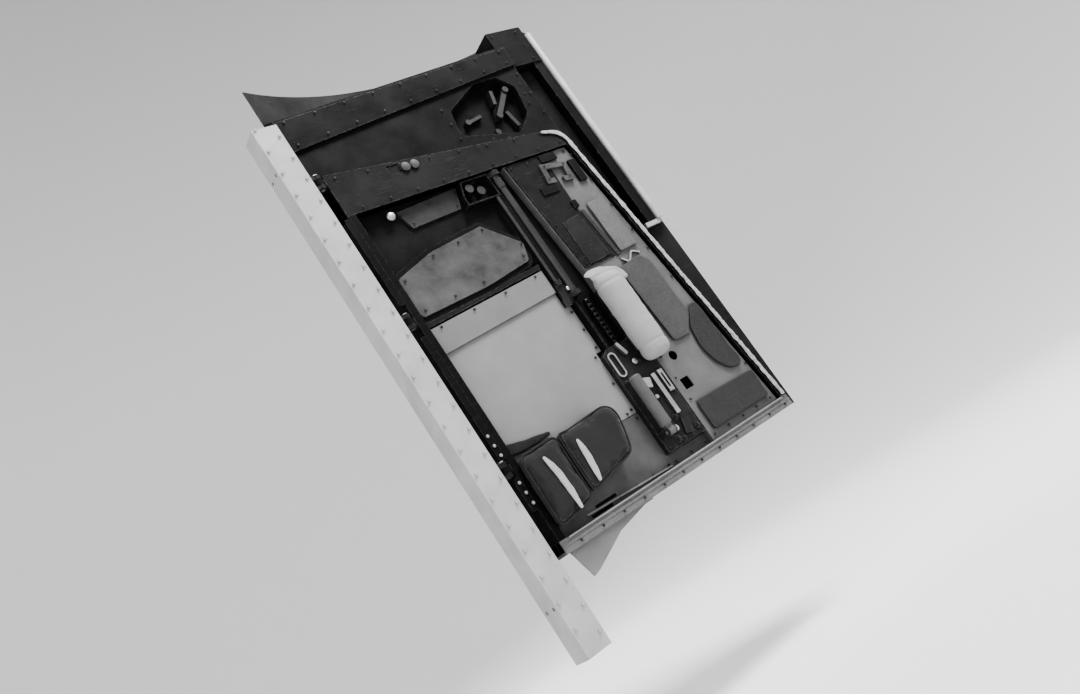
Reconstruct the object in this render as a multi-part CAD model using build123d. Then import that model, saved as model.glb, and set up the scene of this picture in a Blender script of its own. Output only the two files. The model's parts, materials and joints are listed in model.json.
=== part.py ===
from build123d import *
from math import asin, cos, degrees, radians
import os

# Crew hatch of a space capsule, swung open on its hinges and seen from the cabin side.
# All sizes are in millimetres. Shapes are drawn in the hatch's own coordinates:
# X runs from the hinge axis to the free edge, Y from the cabin side out to the skin,
# and Z from the aft end to the nose end. The hinge axis is at X = 0, Y = 0.
# The last lines move every piece, so that the origin is the middle of the sill beam's
# mounting face.

# Sizes of the whole hatch
hatch_length = 1245.0
hatch_free_x = 864.0
hatch_hinge_x = 16.0
skin_edge_y = 92.0
skin_thickness = 3.0
skin_radius_aft = 1000.0
skin_radius_nose = 880.0
skin_corner_radius = 30.0
skin_reach = 300.0

# Stiffening beads along the outside of the skin
bead_count = 13
bead_spread = 45.0
bead_width = 18.0
bead_height = 4.0
bead_root = 1.0
bead_end_margin = 45.0

# Tube and flank along the free edge of the skin, and the cap in its corner
edge_tube_radius = 10.0
edge_tube_aft_z = 585.0
edge_tab_width = 12.0
edge_tab_inner_x = 800.0
edge_tab_depth = 8.0
flank_width = 29.0
flank_front_y = 84.0
flank_wall = 3.0
corner_cap_length = 117.0
corner_cap_front_y = 80.0
corner_cap_wall = 3.0
edge_gap = 0.3

# Sill beam, the fixed half of the hinge
beam_length = 1260.0
beam_aft_overhang = 180.0
beam_width = 60.0
beam_depth = 54.0
beam_wall = 5.0
beam_to_axis = 13.0
beam_front_to_axis = 8.0
beam_bolt_pitch = 30.0
beam_bolt_span = 1040.0
beam_bolt_radius = 4.2

# Hinges
hinge_stations = (200.0, 560.0, 920.0)
hinge_pin_radius = 5.0
hinge_boss_radius = 10.5
boss_sides = 24
hinge_lug_thickness = 9.0
hinge_tongue_thickness = 16.0
hinge_side_gap = 0.5
hinge_running_gap = 0.05
pin_head_radius = 8.0
pin_head_sides = 6
pin_head_length = 3.0

# Frame round the cabin side
frame_wall = 6.0
frame_cap_thickness = 4.0
aft_beam_width = 28.0
side_beam_width = 18.0
front_beam_z = 828.0
front_beam_hinge_z = 936.0
front_recess = (166.0, 198.0, 890.0, 914.0)
front_recess_depth = 3.0
rim_aft_x = 765.0
rim_nose_x = 668.0
rim_nose_z = 875.0
rim_beam_width = 16.0
rim_corner_radius = 34.0
rim_strip_width = 7.0
rim_strip_height = 5.0
rim_strip_start_x = 600.0
aft_ridge_z = (13.0, 18.0)
aft_ridge_height = 1.5
lip_depth = 30.0
lip_thickness = 3.0
lip_flange = 16.0
lip_outline = ((40.0, 0.0), (58.0, -64.0), (76.0, -60.0), (170.0, -20.0), (274.0, 0.0))

# Floor of the cabin side
floor_y = 30.0
floor_thickness = 3.0

# Nose bay, forward of the front beam
nose_panel_y = 60.0
nose_panel_thickness = 3.0
nose_panel_free_x = 724.0
nose_wall_thickness = 5.0
nose_strip_height = 8.0
nose_strip_hinge_inset = 205.0
nose_strip_free_inset = 127.0
nose_wall_hinge_inset = 117.0
nose_wall_free_inset = 67.0
nose_wall_lean = 0.57

# Pocket with the nose latch fittings. Its places along Z are measured from the nose end.
pocket_outline = (
    (443.0, 281.0), (611.0, 318.0), (667.0, 271.0), (686.0, 188.0), (647.0, 147.0), (573.0, 148.0),
    (459.0, 206.0))
pocket_corner_radius = 16.0
pocket_depth = 34.0
pocket_wall = 3.0
latch_arm_lines = (
    # start, end, width, rise from the pocket's floor
    ((656.0, 184.0), (592.0, 250.0), 14.0, 22.0),
    ((610.0, 178.0), (598.0, 218.0), 10.0, 26.0),
    ((626.0, 240.0), (636.0, 288.0), 11.0, 14.0),
    ((500.0, 240.0), (548.0, 231.0), 9.0, 12.0))
latch_studs = (
    # place, radius, rise from the pocket's floor
    ((656.0, 184.0), 9.0, 26.0), ((592.0, 250.0), 9.0, 25.0), ((570.0, 285.0), 8.0, 10.0),
    ((500.0, 240.0), 8.0, 16.0))
fitting_sides = 16

# Window
window_outline = (
    (42.0, 562.0), (229.0, 571.0), (360.0, 590.0), (374.0, 634.0), (298.0, 708.0), (148.0, 692.0),
    (42.0, 660.0))
window_corner_radius = 10.0
window_cover_thickness = 6.0
window_frame_height = 12.0
window_frame_margin = 13.0
window_opening_inset = 22.0
window_tunnel_wall = 4.0
pane_thickness = 8.0
pane_y = 70.0
bezel_width = 20.0
bezel_height = 4.0

# Panels of the left half
trim_edge_x = 36.0
panel_free_x = 376.0
panel_tab = (392.0, 330.0, 455.0)
panel_thickness = 6.0
panel_aft_z = 172.0
panel_nose_z = 533.0
panel_slope = 0.07
panel_crease_z = 472.0
panel_step_height = 6.0
cross_member_width = 12.0
cross_member_gap = 4.0
cross_member_height = 14.0
aft_plate_gap = 2.0
aft_tab_free_x = 500.0
slot_centres = ((158.0, 34.0), (178.0, 47.0))
slot_size = (62.0, 7.0)
inset_plate_outline = ((139.0, 812.0), (310.0, 822.0), (292.0, 770.0), (155.0, 764.0))

# Pouches
pouch_front_y = -24.0
soft_gap = 0.3
pouch_edge_bevel = 8.0
left_pouch_outline = ((26.0, 43.0), (130.0, 43.0), (130.0, 215.0), (26.0, 210.0))
right_pouch_outline = ((134.0, 76.0), (280.0, 98.0), (304.0, 219.0), (134.0, 219.0))
pouch_corner_cut = 8.0
pouch_large_cut = 24.0
pouch_flap_outline = ((38.0, 222.0), (164.0, 222.0), (164.0, 227.0), (38.0, 248.0))
flap_thickness = 4.0
strap_width = 14.0
strap_thickness = 2.0
pouch_strap_rows = ((78.0, 60.0, 180.0), (161.0, 86.0, 180.0))

# Torque tube with its brackets, and the push rod beside it
torque_axis = (412.0, 8.0)
torque_tube_radius = 9.0
torque_tube_z = (465.0, 822.0)
torque_bracket_inset = 2.0
torque_collar_radius = 11.0
torque_collar_z = (776.0, 800.0)
torque_bracket_width = 30.0
torque_bracket_thickness = 10.0
lug_clearance = 1.0
push_rod_axis = (388.0, 12.0)
push_rod_radius = 5.0
push_rod_aft_z = 517.0
rod_socket_length = 12.0
rod_socket_width = 14.0
lug_thickness = 6.0
lug_outline = ((381.0, 515.0), (410.0, 515.0), (418.0, 493.0), (418.0, 475.0), (392.0, 453.0), (374.0, 453.0))

# Box of guide rollers at the end of the push rod
roller_box_outline = ((317.0, 824.0), (396.0, 824.0), (396.0, 762.0), (302.0, 762.0), (302.0, 784.0))
roller_box_height = 24.0
roller_box_wall = 3.0
roller_places = ((334.0, 804.0), (360.0, 790.0))
roller_radius = 11.0
roller_core_radius = 8.0
roller_sides = 16
roller_height = 16.0
roller_flange = 4.0

# Drive chain between its rails
drive_rail_x = (396.0, 461.0)
drive_rail_width = 5.0
drive_rail_z = (327.0, 455.0)
drive_rail_height = 24.0
chain_x = 431.0
chain_y = 15.0
chain_pitch = 12.7
chain_rollers = 10
chain_roller_radius = 4.2
chain_roller_sides = 8
chain_inner_width = 8.0
chain_plate = 1.5
chain_plate_height = 10.0
chain_bed_width = 44.0

# Latch box and what lies on it
latch_face_y = 10.0
latch_box_gap = 1.0
latch_box_free_x = 498.0
latch_box_aft_z = 58.0
latch_box_nose_z = 292.0
latch_neck_free_x = 466.0
release_ring_centre = (393.0, 282.0)
release_ring_size = (64.0, 24.0)
release_ring_wall = 4.0
release_ring_thickness = 4.0
release_ring_sides = 16
slide_bar = (454.0, 466.0, 122.0, 227.0)
slotted_bar = (475.0, 490.0, 172.0, 228.0)
slide_slot = (5.0, 38.0)
slide_height = 7.0
arm_ends = ((463.0, 106.0), (453.0, 72.0))
arm_width = 20.0

# Latch handle
handle_x = 395.0
handle_pivot = (-14.0, 96.0)
handle_grip_radius = 14.0
handle_grip_length = 130.0
handle_grip_bevel = 4.0
handle_shank_length = 14.0
handle_shank_width = 16.0
handle_shank_depth = 12.0
handle_pin_radius = 4.0
handle_boss_radius = 9.0
handle_ear_thickness = 4.0
handle_side_gap = 0.5
handle_running_gap = 0.05

# Right half
facet_height = 20.0
facet_wall = 3.0
facet_rim_margin = 6.0
facet_hinge_x = (472.0, 478.0, 450.0)
facet_knee_z = 514.0
facet_clearance = 2.0
hole_place = (549.0, 241.0)
hole_radius = 12.0
square_place = (536.0, 171.0)
square_size = 28.0
upper_plate_outline = (
    (454.0, 824.0), (574.0, 824.0), (566.0, 660.0), (578.0, 516.0), (481.0, 516.0), (475.0, 582.0))
lower_plate_outline = ((500.0, 640.0), (558.0, 646.0), (568.0, 524.0), (500.0, 520.0))
plate_height = 4.0
overlay_height = 2.0
bracket_outline = ((540.0, 798.0), (618.0, 786.0), (610.0, 734.0), (532.0, 744.0))
bracket_width = 13.0
bracket_height = 10.0
dark_bars = ((556.0, 606.0, 802.0, 822.0), (502.0, 552.0, 720.0, 740.0), (628.0, 650.0, 724.0, 786.0),
             (558.0, 574.0, 664.0, 684.0))
dark_bar_height = 8.0
light_pad_outline = ((597.0, 664.0), (652.0, 668.0), (660.0, 521.0), (600.0, 519.0))
hold_strap_line = ((574.0, 654.0), (590.0, 512.0))
hold_strap_width = 12.0
hook_line = ((588.0, 503.0), (605.0, 486.0), (628.0, 511.0), (650.0, 499.0))
hook_bend = 8.0
hook_width = 5.0
pad_thickness = 5.0
roll_radius = 31.0
roll_bevel = 6.0
roll_sides = 32
roll_x = 495.0
roll_z = (270.0, 480.0)
strip_pad_outline = ((566.0, 478.0), (622.0, 474.0), (628.0, 264.0), (572.0, 268.0))
crescent_pad_outline = (
    (677.0, 328.0), (702.0, 326.0), (707.0, 244.0), (706.0, 191.0), (716.0, 158.0), (702.0, 142.0),
    (669.0, 151.0), (646.0, 179.0), (631.0, 225.0), (637.0, 275.0))
square_pad_outline = ((520.0, 124.0), (722.0, 120.0), (720.0, 48.0), (520.0, 48.0))
pad_corner_cut = 5.0


def block(x_range, y_range, z_range):
    """A box from its lowest and highest place along each axis."""
    size = [high - low for low, high in (x_range, y_range, z_range)]
    middle = [(high + low) / 2 for low, high in (x_range, y_range, z_range)]
    return Pos(*middle) * Box(*size)


def flat_outline(points, radius=0.0):
    """A closed outline drawn in X and Z, with every corner rounded by the radius."""
    if radius:
        return make_face(FilletPolyline(*points, radius=radius, close=True))
    return make_face(Polyline(*points, close=True))


def cut_outline(points, cut):
    """A closed outline in X and Z whose corners are all cut off at a slant."""
    area = flat_outline(points)
    return chamfer(area.vertices(), cut)


def rectangle(x_range, z_range):
    """A rectangular outline in X and Z."""
    (x0, x1), (z0, z1) = x_range, z_range
    return flat_outline(((x0, z0), (x1, z0), (x1, z1), (x0, z1)))


def plate(outline, y_front, y_back):
    """A flat plate of an X-Z outline, from its cabin-side face to its outer face."""
    return Pos(0, y_back, 0) * Rot(90, 0, 0) * extrude(outline, y_back - y_front)


def tray(outline, y_front, y_back, wall):
    """A plate with its back hollowed out, so that a front and a rim are left."""
    inside = plate(offset(outline, -wall, kind=Kind.INTERSECTION), y_front + wall, y_back)
    return plate(outline, y_front, y_back) - inside


def rod_y(radius, y_range, x, z):
    """A round rod that points from the cabin side to the skin."""
    length = y_range[1] - y_range[0]
    return Pos(x, sum(y_range) / 2, z) * Rot(90, 0, 0) * Cylinder(radius, length)


def stud_y(radius, sides, y_range, x, z):
    """A prism with flat sides that points from the cabin side to the skin."""
    return plate(Pos(x, z) * RegularPolygon(radius, sides), *y_range)


def rod_x(radius, x_range, y, z):
    """A round rod that lies across the hatch."""
    length = x_range[1] - x_range[0]
    return Pos(sum(x_range) / 2, y, z) * Rot(0, 90, 0) * Cylinder(radius, length)


def stud_x(radius, sides, x_range, y, z):
    """A prism with flat sides that lies across the hatch."""
    return Pos(x_range[0], y, z) * extrude(Plane.YZ * RegularPolygon(radius, sides), x_range[1] - x_range[0])


def rod_z(radius, z_range, x, y):
    """A round rod that lies along the hatch."""
    return Pos(x, y, sum(z_range) / 2) * Cylinder(radius, z_range[1] - z_range[0])


def stud_z(radius, sides, z_range, x, y):
    """A prism with flat sides that lies along the hatch."""
    return extrude(Pos(x, y, z_range[0]) * RegularPolygon(radius, sides), z_range[1] - z_range[0])


# Outer skin: part of a shallow cone, tilted so that its two long edges stay level
hatch_middle_x = (hatch_hinge_x + hatch_free_x) / 2
half_chord = (hatch_free_x - hatch_hinge_x) / 2
axis_drop_aft = (skin_radius_aft ** 2 - half_chord ** 2) ** 0.5
axis_drop_nose = (skin_radius_nose ** 2 - half_chord ** 2) ** 0.5
cone_tilt = degrees(asin((axis_drop_aft - axis_drop_nose) / hatch_length))
cone_length = hatch_length * cos(radians(cone_tilt))
cone_taper = (skin_radius_nose - skin_radius_aft) / cone_length
cone_place = Pos(hatch_middle_x, skin_edge_y, 0) * Rot(-cone_tilt, 0, 0) * Pos(0, -axis_drop_aft, 0)
cone_overrun = 200.0


def cone_radius(along):
    """Outside radius of the skin's cone at a distance along its axis."""
    return skin_radius_aft + cone_taper * along


def skin_cone(depth):
    """A solid cone whose surface lies at a depth under the outside of the skin."""
    low = cone_radius(-cone_overrun) - depth
    high = cone_radius(cone_length + cone_overrun) - depth
    return cone_place * Pos(0, 0, cone_length / 2) * Cone(low, high, cone_length + 2 * cone_overrun)


def skin_bead(angle):
    """One raised bead along a straight line of the cone."""
    start, end = bead_end_margin, cone_length - bead_end_margin
    rise = cone_radius(end) - cone_radius(start)
    run_length = (rise ** 2 + (end - start) ** 2) ** 0.5
    half = bead_width / 2
    section = make_face(Polyline(
        (-half, -bead_root), (half, -bead_root), (half, 0), (half / 2, bead_height), (-half / 2, bead_height),
        (-half, 0), close=True))
    root = Plane(origin=(0, cone_radius(start), start), x_dir=(1, 0, 0), z_dir=(0, rise, end - start))
    return cone_place * Rot(0, 0, angle) * extrude(root * section, run_length)


skin_plan = rectangle((hatch_hinge_x, hatch_free_x), (0, hatch_length))
free_corners = skin_plan.vertices().group_by(Axis.X)[-1]
skin_plan = fillet(free_corners.sort_by(Axis.Y)[-1], skin_corner_radius)
room = skin_cone(skin_thickness)
window_face = flat_outline(window_outline, window_corner_radius)
window_opening = offset(window_face, -window_opening_inset)
window_shaft = plate(window_opening, 0, skin_reach)
bezel_area = plate(offset(window_opening, bezel_width, kind=Kind.INTERSECTION), 0, skin_reach)
outer_skin = (skin_cone(0) - skin_cone(skin_thickness)) & plate(skin_plan, 0, skin_reach)
for number in range(bead_count):
    bead_angle = bead_spread * (number / (bead_count - 1) - 0.5)
    outer_skin += skin_bead(bead_angle) - bezel_area
outer_skin -= window_shaft
window_bezel = (bezel_area - window_shaft) & (skin_cone(-bezel_height) - skin_cone(0))

# Free edge of the skin: tube with its tab, flank and corner cap
edge_tube_x = hatch_free_x - edge_tube_radius
edge_tube_y = skin_edge_y - edge_tube_radius
edge_tube_z = (edge_tube_aft_z, hatch_length - skin_corner_radius)
edge_tube = rod_z(edge_tube_radius, edge_tube_z, edge_tube_x, edge_tube_y)
edge_tube += block((edge_tab_inner_x, edge_tube_x), (edge_tube_y, edge_tube_y + edge_tab_depth),
                   (edge_tube_aft_z - edge_tab_width, edge_tube_aft_z))
edge_tube = edge_tube & room
flank_x = (edge_tube_x - edge_tube_radius - edge_gap - flank_width, edge_tube_x - edge_tube_radius - edge_gap)
corner_cap_aft_z = hatch_length - corner_cap_length
flank_z = (edge_tube_aft_z + edge_gap, corner_cap_aft_z - edge_gap)
edge_flank = block(flank_x, (flank_front_y, flank_front_y + flank_wall), flank_z)
edge_flank += block((flank_x[0], flank_x[0] + flank_wall), (flank_front_y, skin_reach), flank_z)
edge_flank = edge_flank & room
cap_x = (nose_panel_free_x + 2 * edge_gap, flank_x[1])
cap_outline = rectangle(cap_x, (corner_cap_aft_z, hatch_length - edge_gap))
cap_tray = tray(cap_outline, corner_cap_front_y, skin_reach, corner_cap_wall)
corner_cap = cap_tray & room & plate(offset(skin_plan, -edge_gap), 0, skin_reach)

# Frame round the cabin side
rim_slope = (rim_nose_x - rim_aft_x) / rim_nose_z


def rim_x(z):
    """The free edge of the frame at a height."""
    return rim_aft_x + rim_slope * z


hinge_beam_inner_x = hatch_hinge_x + side_beam_width
frame_outline = flat_outline((
    (hatch_hinge_x, 0), (rim_aft_x, 0), (rim_nose_x, rim_nose_z), (hatch_hinge_x, front_beam_hinge_z)))
frame_outline = fillet(frame_outline.vertices().sort_by(Axis.X)[2], rim_corner_radius)
frame_prism = plate(frame_outline, 0, skin_reach)

aft_cap = plate(rectangle((hatch_hinge_x, rim_x(0)), (0, aft_beam_width)), 0, frame_cap_thickness)
aft_web = plate(rectangle((hatch_hinge_x, rim_x(0)), (0, frame_wall)), 0, skin_reach)
aft_beam = (aft_cap + (aft_web & room)) & frame_prism
aft_beam += plate(rectangle((hatch_hinge_x, rim_x(aft_ridge_z[1])), aft_ridge_z), -aft_ridge_height, 0)

front_area = flat_outline((
    (hatch_hinge_x, front_beam_z), (rim_x(front_beam_z), front_beam_z),
    (rim_nose_x, rim_nose_z), (hatch_hinge_x, front_beam_hinge_z)))
front_inside = flat_outline((
    (hatch_hinge_x, front_beam_z), (rim_x(front_beam_z) - frame_wall, front_beam_z),
    (rim_nose_x - frame_wall, rim_nose_z - frame_wall), (hatch_hinge_x, front_beam_hinge_z - frame_wall)))
front_beam = plate(front_area, 0, skin_reach) - plate(front_inside, frame_cap_thickness, skin_reach)
front_beam = front_beam & frame_prism & room
front_beam -= plate(rectangle(front_recess[:2], front_recess[2:]), 0, front_recess_depth)

hinge_side = plate(
    rectangle((hatch_hinge_x, hinge_beam_inner_x), (aft_beam_width, front_beam_z)), 0, frame_cap_thickness)
hinge_web = plate(
    rectangle((hatch_hinge_x, hatch_hinge_x + frame_wall), (aft_beam_width, front_beam_z)), 0, skin_reach)
hinge_longeron = (hinge_side + hinge_web) & room


def rim_band_area(width):
    """The strip of a given width along the free edge, between the aft and front beams."""
    low, high = rim_x(aft_beam_width), rim_x(front_beam_z)
    return flat_outline((
        (low - width, aft_beam_width), (low, aft_beam_width), (high, front_beam_z),
        (high - width, front_beam_z)))


free_cap = plate(rim_band_area(rim_beam_width), 0, frame_cap_thickness)
free_longeron = (free_cap + plate(rim_band_area(frame_wall), 0, skin_reach)) & room

rim_band = frame_outline - offset(frame_outline, -rim_strip_width)
rim_part = rectangle((rim_strip_start_x, hatch_free_x), (aft_beam_width, hatch_length))
free_edge_rim = plate(rim_band & rim_part, -rim_strip_height, 0)

floor_area = flat_outline((
    (hatch_hinge_x + frame_wall, frame_wall), (rim_x(frame_wall) - frame_wall, frame_wall),
    (rim_x(front_beam_z) - frame_wall, front_beam_z), (hatch_hinge_x + frame_wall, front_beam_z)))
inner_floor = plate(floor_area, floor_y, floor_y + floor_thickness) - window_shaft

# Lip below the aft beam at the hinge side
lip_face = plate(flat_outline(lip_outline), lip_depth - lip_thickness, lip_depth)
lip_root = rectangle((lip_outline[0][0], lip_outline[-1][0]), (-lip_thickness, 0))
aft_lip = lip_face + (plate(lip_root, lip_depth - lip_flange, lip_depth))

# Window
window_base = offset(window_face, window_frame_margin)
window_base = window_base & rectangle((trim_edge_x, panel_free_x), (0, front_beam_z))
cover_y = floor_y - window_frame_height
window_frame = plate(window_base, cover_y, floor_y) - window_shaft
window_cover = plate(window_face, cover_y - window_cover_thickness, cover_y)
tunnel_area = offset(window_opening, window_tunnel_wall, kind=Kind.INTERSECTION)
tunnel_ring = plate(tunnel_area, floor_y + floor_thickness, skin_reach)
window_tunnel = (tunnel_ring - window_shaft) & room
window_pane = plate(window_opening, pane_y, pane_y + pane_thickness)

# Left half: large panel, cross member, aft plate and inset plate
panel_rise = panel_slope * (panel_free_x - trim_edge_x)


def panel_band(low, high):
    """A band across the left half whose two long edges slope with the window's lower edge."""
    return flat_outline((
        (trim_edge_x, low), (panel_free_x, low + panel_rise), (panel_free_x, high + panel_rise),
        (trim_edge_x, high)))


panel_face_y = floor_y - panel_thickness
panel_area = flat_outline((
    (trim_edge_x, panel_aft_z), (panel_free_x, panel_aft_z), (panel_free_x, panel_nose_z + panel_rise),
    (trim_edge_x, panel_nose_z)))
panel_area += rectangle((panel_free_x, panel_tab[0]), panel_tab[1:])
inner_panel = plate(panel_area, panel_face_y, floor_y)
inner_panel += plate(panel_band(panel_crease_z, panel_nose_z), panel_face_y - panel_step_height, panel_face_y)
member_z = panel_nose_z + cross_member_gap
member_area = panel_band(member_z, member_z + cross_member_width)
cross_member = plate(member_area, floor_y - cross_member_height, floor_y)
cross_member -= plate(window_base, 0, floor_y)
aft_plate_area = rectangle((trim_edge_x, panel_free_x), (aft_beam_width, panel_aft_z - aft_plate_gap))
aft_plate_area += rectangle((panel_free_x, aft_tab_free_x), (aft_beam_width, latch_box_aft_z - aft_plate_gap))
for x, z in slot_centres:
    aft_plate_area -= Pos(x, z) * Rectangle(*slot_size)
aft_plate = plate(aft_plate_area, panel_face_y, floor_y)
inset_plate = plate(flat_outline(inset_plate_outline), panel_face_y, floor_y)

# Pouches with their flap and straps
pouch_back_y = panel_face_y - soft_gap


def pouch(area):
    """A flat bag with its front edges bevelled."""
    body = plate(area, pouch_front_y, pouch_back_y)
    front_edges = body.faces().sort_by(Axis.Y)[0].edges()
    return chamfer(front_edges, pouch_edge_bevel)


right_area = flat_outline(right_pouch_outline)
right_area = chamfer(right_area.vertices().sort_by(Axis.X)[-1], pouch_large_cut)
pouch_left = pouch(cut_outline(left_pouch_outline, pouch_corner_cut))
pouch_left -= plate(rectangle((0, hinge_beam_inner_x + soft_gap), (0, front_beam_z)), -soft_gap, floor_y)
pouch_right = pouch(right_area)
pouch_flap = plate(flat_outline(pouch_flap_outline), pouch_back_y - flap_thickness, pouch_back_y)
strap_front_y = pouch_front_y - soft_gap - strap_thickness
straps = []
for x, z0, z1 in pouch_strap_rows:
    strap_area = rectangle((x - strap_width / 2, x + strap_width / 2), (z0, z1))
    straps.append(plate(strap_area, strap_front_y, pouch_front_y - soft_gap))
pouch_straps = Compound(children=straps)

# Torque tube and its two brackets, of which the aft one carries the push rod's lug
torque_x, torque_y = torque_axis
torque_tube = rod_z(torque_tube_radius, torque_tube_z, torque_x, torque_y)
torque_tube += stud_z(torque_collar_radius, boss_sides, torque_collar_z, torque_x, torque_y)


def torque_bracket(low):
    """A bearing block with a round top on the tube and its foot on the floor."""
    high = low + torque_bracket_thickness
    half = torque_bracket_width / 2
    bearing = stud_z(half, boss_sides, (low, high), torque_x, torque_y)
    bearing += block((torque_x - half, torque_x + half), (torque_y, floor_y), (low, high))
    return bearing - rod_z(torque_tube_radius + handle_running_gap, (low, high), torque_x, torque_y)


rod_x_place, rod_y_place = push_rod_axis
lug_back_y = panel_face_y - panel_step_height - soft_gap
aft_bracket = torque_bracket(torque_tube_z[0] + torque_bracket_inset)
nose_bracket = torque_bracket(torque_tube_z[1] - torque_bracket_inset - torque_bracket_thickness)
lug = plate(flat_outline(lug_outline), lug_back_y - lug_thickness, lug_back_y)
lug -= rod_z(torque_tube_radius + lug_clearance, torque_tube_z, torque_x, torque_y)
socket_half = rod_socket_width / 2
lug += block((rod_x_place - socket_half, rod_x_place + socket_half), (rod_y_place - socket_half, lug_back_y),
             (push_rod_aft_z - rod_socket_length, push_rod_aft_z))
torque_brackets = Compound(children=[aft_bracket + lug, nose_bracket])
roller_box_aft_z = min(z for x, z in roller_box_outline)
push_rod = rod_z(push_rod_radius, (push_rod_aft_z, roller_box_aft_z), rod_x_place, rod_y_place)

# Box of guide rollers, open to the cabin
box_area = flat_outline(roller_box_outline)
box_floor_y = floor_y - roller_box_wall
roller_box = plate(box_area, floor_y - roller_box_height, floor_y)
roller_box -= plate(offset(box_area, -roller_box_wall, kind=Kind.INTERSECTION), 0, box_floor_y)
spools = []
for x, z in roller_places:
    top_y = box_floor_y - roller_height
    spool = stud_y(roller_core_radius, roller_sides, (top_y, box_floor_y), x, z)
    spool += stud_y(roller_radius, roller_sides, (top_y, top_y + roller_flange), x, z)
    spools.append(spool)
guide_rollers = Compound(children=spools)

# Rails with the chain's bed, and the chain
rail_y = (floor_y - drive_rail_height, floor_y)
rails = [block((x, x + drive_rail_width), rail_y, drive_rail_z) for x in drive_rail_x]
bed_x = (chain_x - chain_bed_width / 2, chain_x + chain_bed_width / 2)
bed_y = chain_y + chain_plate_height / 2 + soft_gap
chain_bed = block(bed_x, (bed_y, floor_y), drive_rail_z)
drive_rails = Compound(children=rails + [chain_bed])
chain_run = chain_pitch * (chain_rollers - 1)
chain_low_z = sum(drive_rail_z) / 2 - chain_run / 2
plate_tip = chain_plate_height / 2
plate_shoulder = plate_tip / 2
inner_x = chain_inner_width / 2


def link_plate(x, low_z):
    """One side plate of a link, from the pin at low_z to the next pin."""
    high_z = low_z + chain_pitch
    side_outline = Plane.YZ * make_face(Polyline(
        (-plate_shoulder, low_z - plate_tip), (plate_shoulder, low_z - plate_tip),
        (plate_tip, low_z - plate_shoulder), (plate_tip, high_z + plate_shoulder),
        (plate_shoulder, high_z + plate_tip), (-plate_shoulder, high_z + plate_tip),
        (-plate_tip, high_z + plate_shoulder),
        (-plate_tip, low_z - plate_shoulder), close=True))
    return Pos(x, chain_y, 0) * extrude(side_outline, chain_plate)


drive_chain = None
for number in range(chain_rollers):
    pin_z = chain_low_z + chain_pitch * number
    roller_face = Plane.YZ * RegularPolygon(chain_roller_radius, chain_roller_sides)
    roller = Pos(chain_x - inner_x, chain_y, pin_z) * extrude(roller_face, chain_inner_width)
    drive_chain = roller if drive_chain is None else drive_chain + roller
    if number < chain_rollers - 1:
        out = inner_x if number % 2 == 0 else inner_x + chain_plate
        drive_chain += link_plate(chain_x - out - chain_plate, pin_z)
        drive_chain += link_plate(chain_x + out, pin_z)

# Latch box with the ring, bars and arm on its face
box_hinge_x = panel_free_x + latch_box_gap
ring_nose_z = release_ring_centre[1] + release_ring_size[0] / 2
latch_box_area = flat_outline((
    (box_hinge_x, latch_box_aft_z), (latch_box_free_x, latch_box_aft_z), (latch_box_free_x, latch_box_nose_z),
    (latch_neck_free_x, latch_box_nose_z), (latch_neck_free_x, drive_rail_z[0] - latch_box_gap),
    (drive_rail_x[0], drive_rail_z[0] - latch_box_gap), (box_hinge_x, ring_nose_z)))
latch_box = tray(latch_box_area, latch_face_y, floor_y, facet_wall)
ring_x, ring_z = release_ring_centre
ring_length, ring_width = release_ring_size
ring_run = (ring_length - ring_width) / 2


def ring_slot(width):
    """A long hole or loop with rounded ends, along Z."""
    end = RegularPolygon(width / 2, release_ring_sides)
    middle = Rectangle(width * cos(radians(180 / release_ring_sides)), 2 * ring_run)
    return middle + Pos(0, ring_run) * end + Pos(0, -ring_run) * end


ring_area = ring_slot(ring_width) - ring_slot(ring_width - 2 * release_ring_wall)
ring_back_y = latch_face_y - soft_gap
release_ring = plate(Pos(ring_x, ring_z) * ring_area, ring_back_y - release_ring_thickness, ring_back_y)
slide_front_y = latch_face_y - slide_height
slotted_face = rectangle(slotted_bar[:2], slotted_bar[2:])
slot_middle = (sum(slotted_bar[:2]) / 2, sum(slotted_bar[2:]) / 2)
slotted_face -= Pos(*slot_middle) * Rectangle(*slide_slot)
latch_slides = Compound(children=[
    plate(rectangle(slide_bar[:2], slide_bar[2:]), slide_front_y, latch_face_y),
    plate(slotted_face, slide_front_y, latch_face_y)])
latch_arm = plate(trace(Line(*arm_ends), arm_width), slide_front_y, latch_face_y)

# Latch handle on its clevis
pivot_y, pivot_z = handle_pivot
grip_low = pivot_z + handle_shank_length
grip = rod_z(handle_grip_radius, (grip_low, grip_low + handle_grip_length), handle_x, pivot_y)
grip = chamfer(grip.edges().filter_by(GeomType.CIRCLE), handle_grip_bevel)
shank_half = handle_shank_width / 2
shank_x = (handle_x - shank_half, handle_x + shank_half)
shank = block(shank_x,
              (pivot_y - handle_shank_depth / 2, pivot_y + handle_shank_depth / 2),
              (pivot_z, grip_low + handle_grip_bevel))
boss = stud_x(handle_boss_radius, boss_sides, shank_x, pivot_y, pivot_z)
latch_handle = grip + shank + boss
latch_handle -= rod_x(handle_pin_radius + handle_running_gap, shank_x, pivot_y, pivot_z)
ear_near = shank_half + handle_side_gap
ear_far = ear_near + handle_ear_thickness
ear_z = (pivot_z - handle_boss_radius, pivot_z + handle_boss_radius)
ears = []
for near, far in ((handle_x - ear_far, handle_x - ear_near), (handle_x + ear_near, handle_x + ear_far)):
    ear = stud_x(handle_boss_radius, boss_sides, (near, far), pivot_y, pivot_z)
    ear += block((near, far), (pivot_y, latch_face_y), ear_z)
    ear -= rod_x(handle_pin_radius, (near, far), pivot_y, pivot_z)
    ears.append(ear)
handle_clevis = Compound(children=ears)
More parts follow.
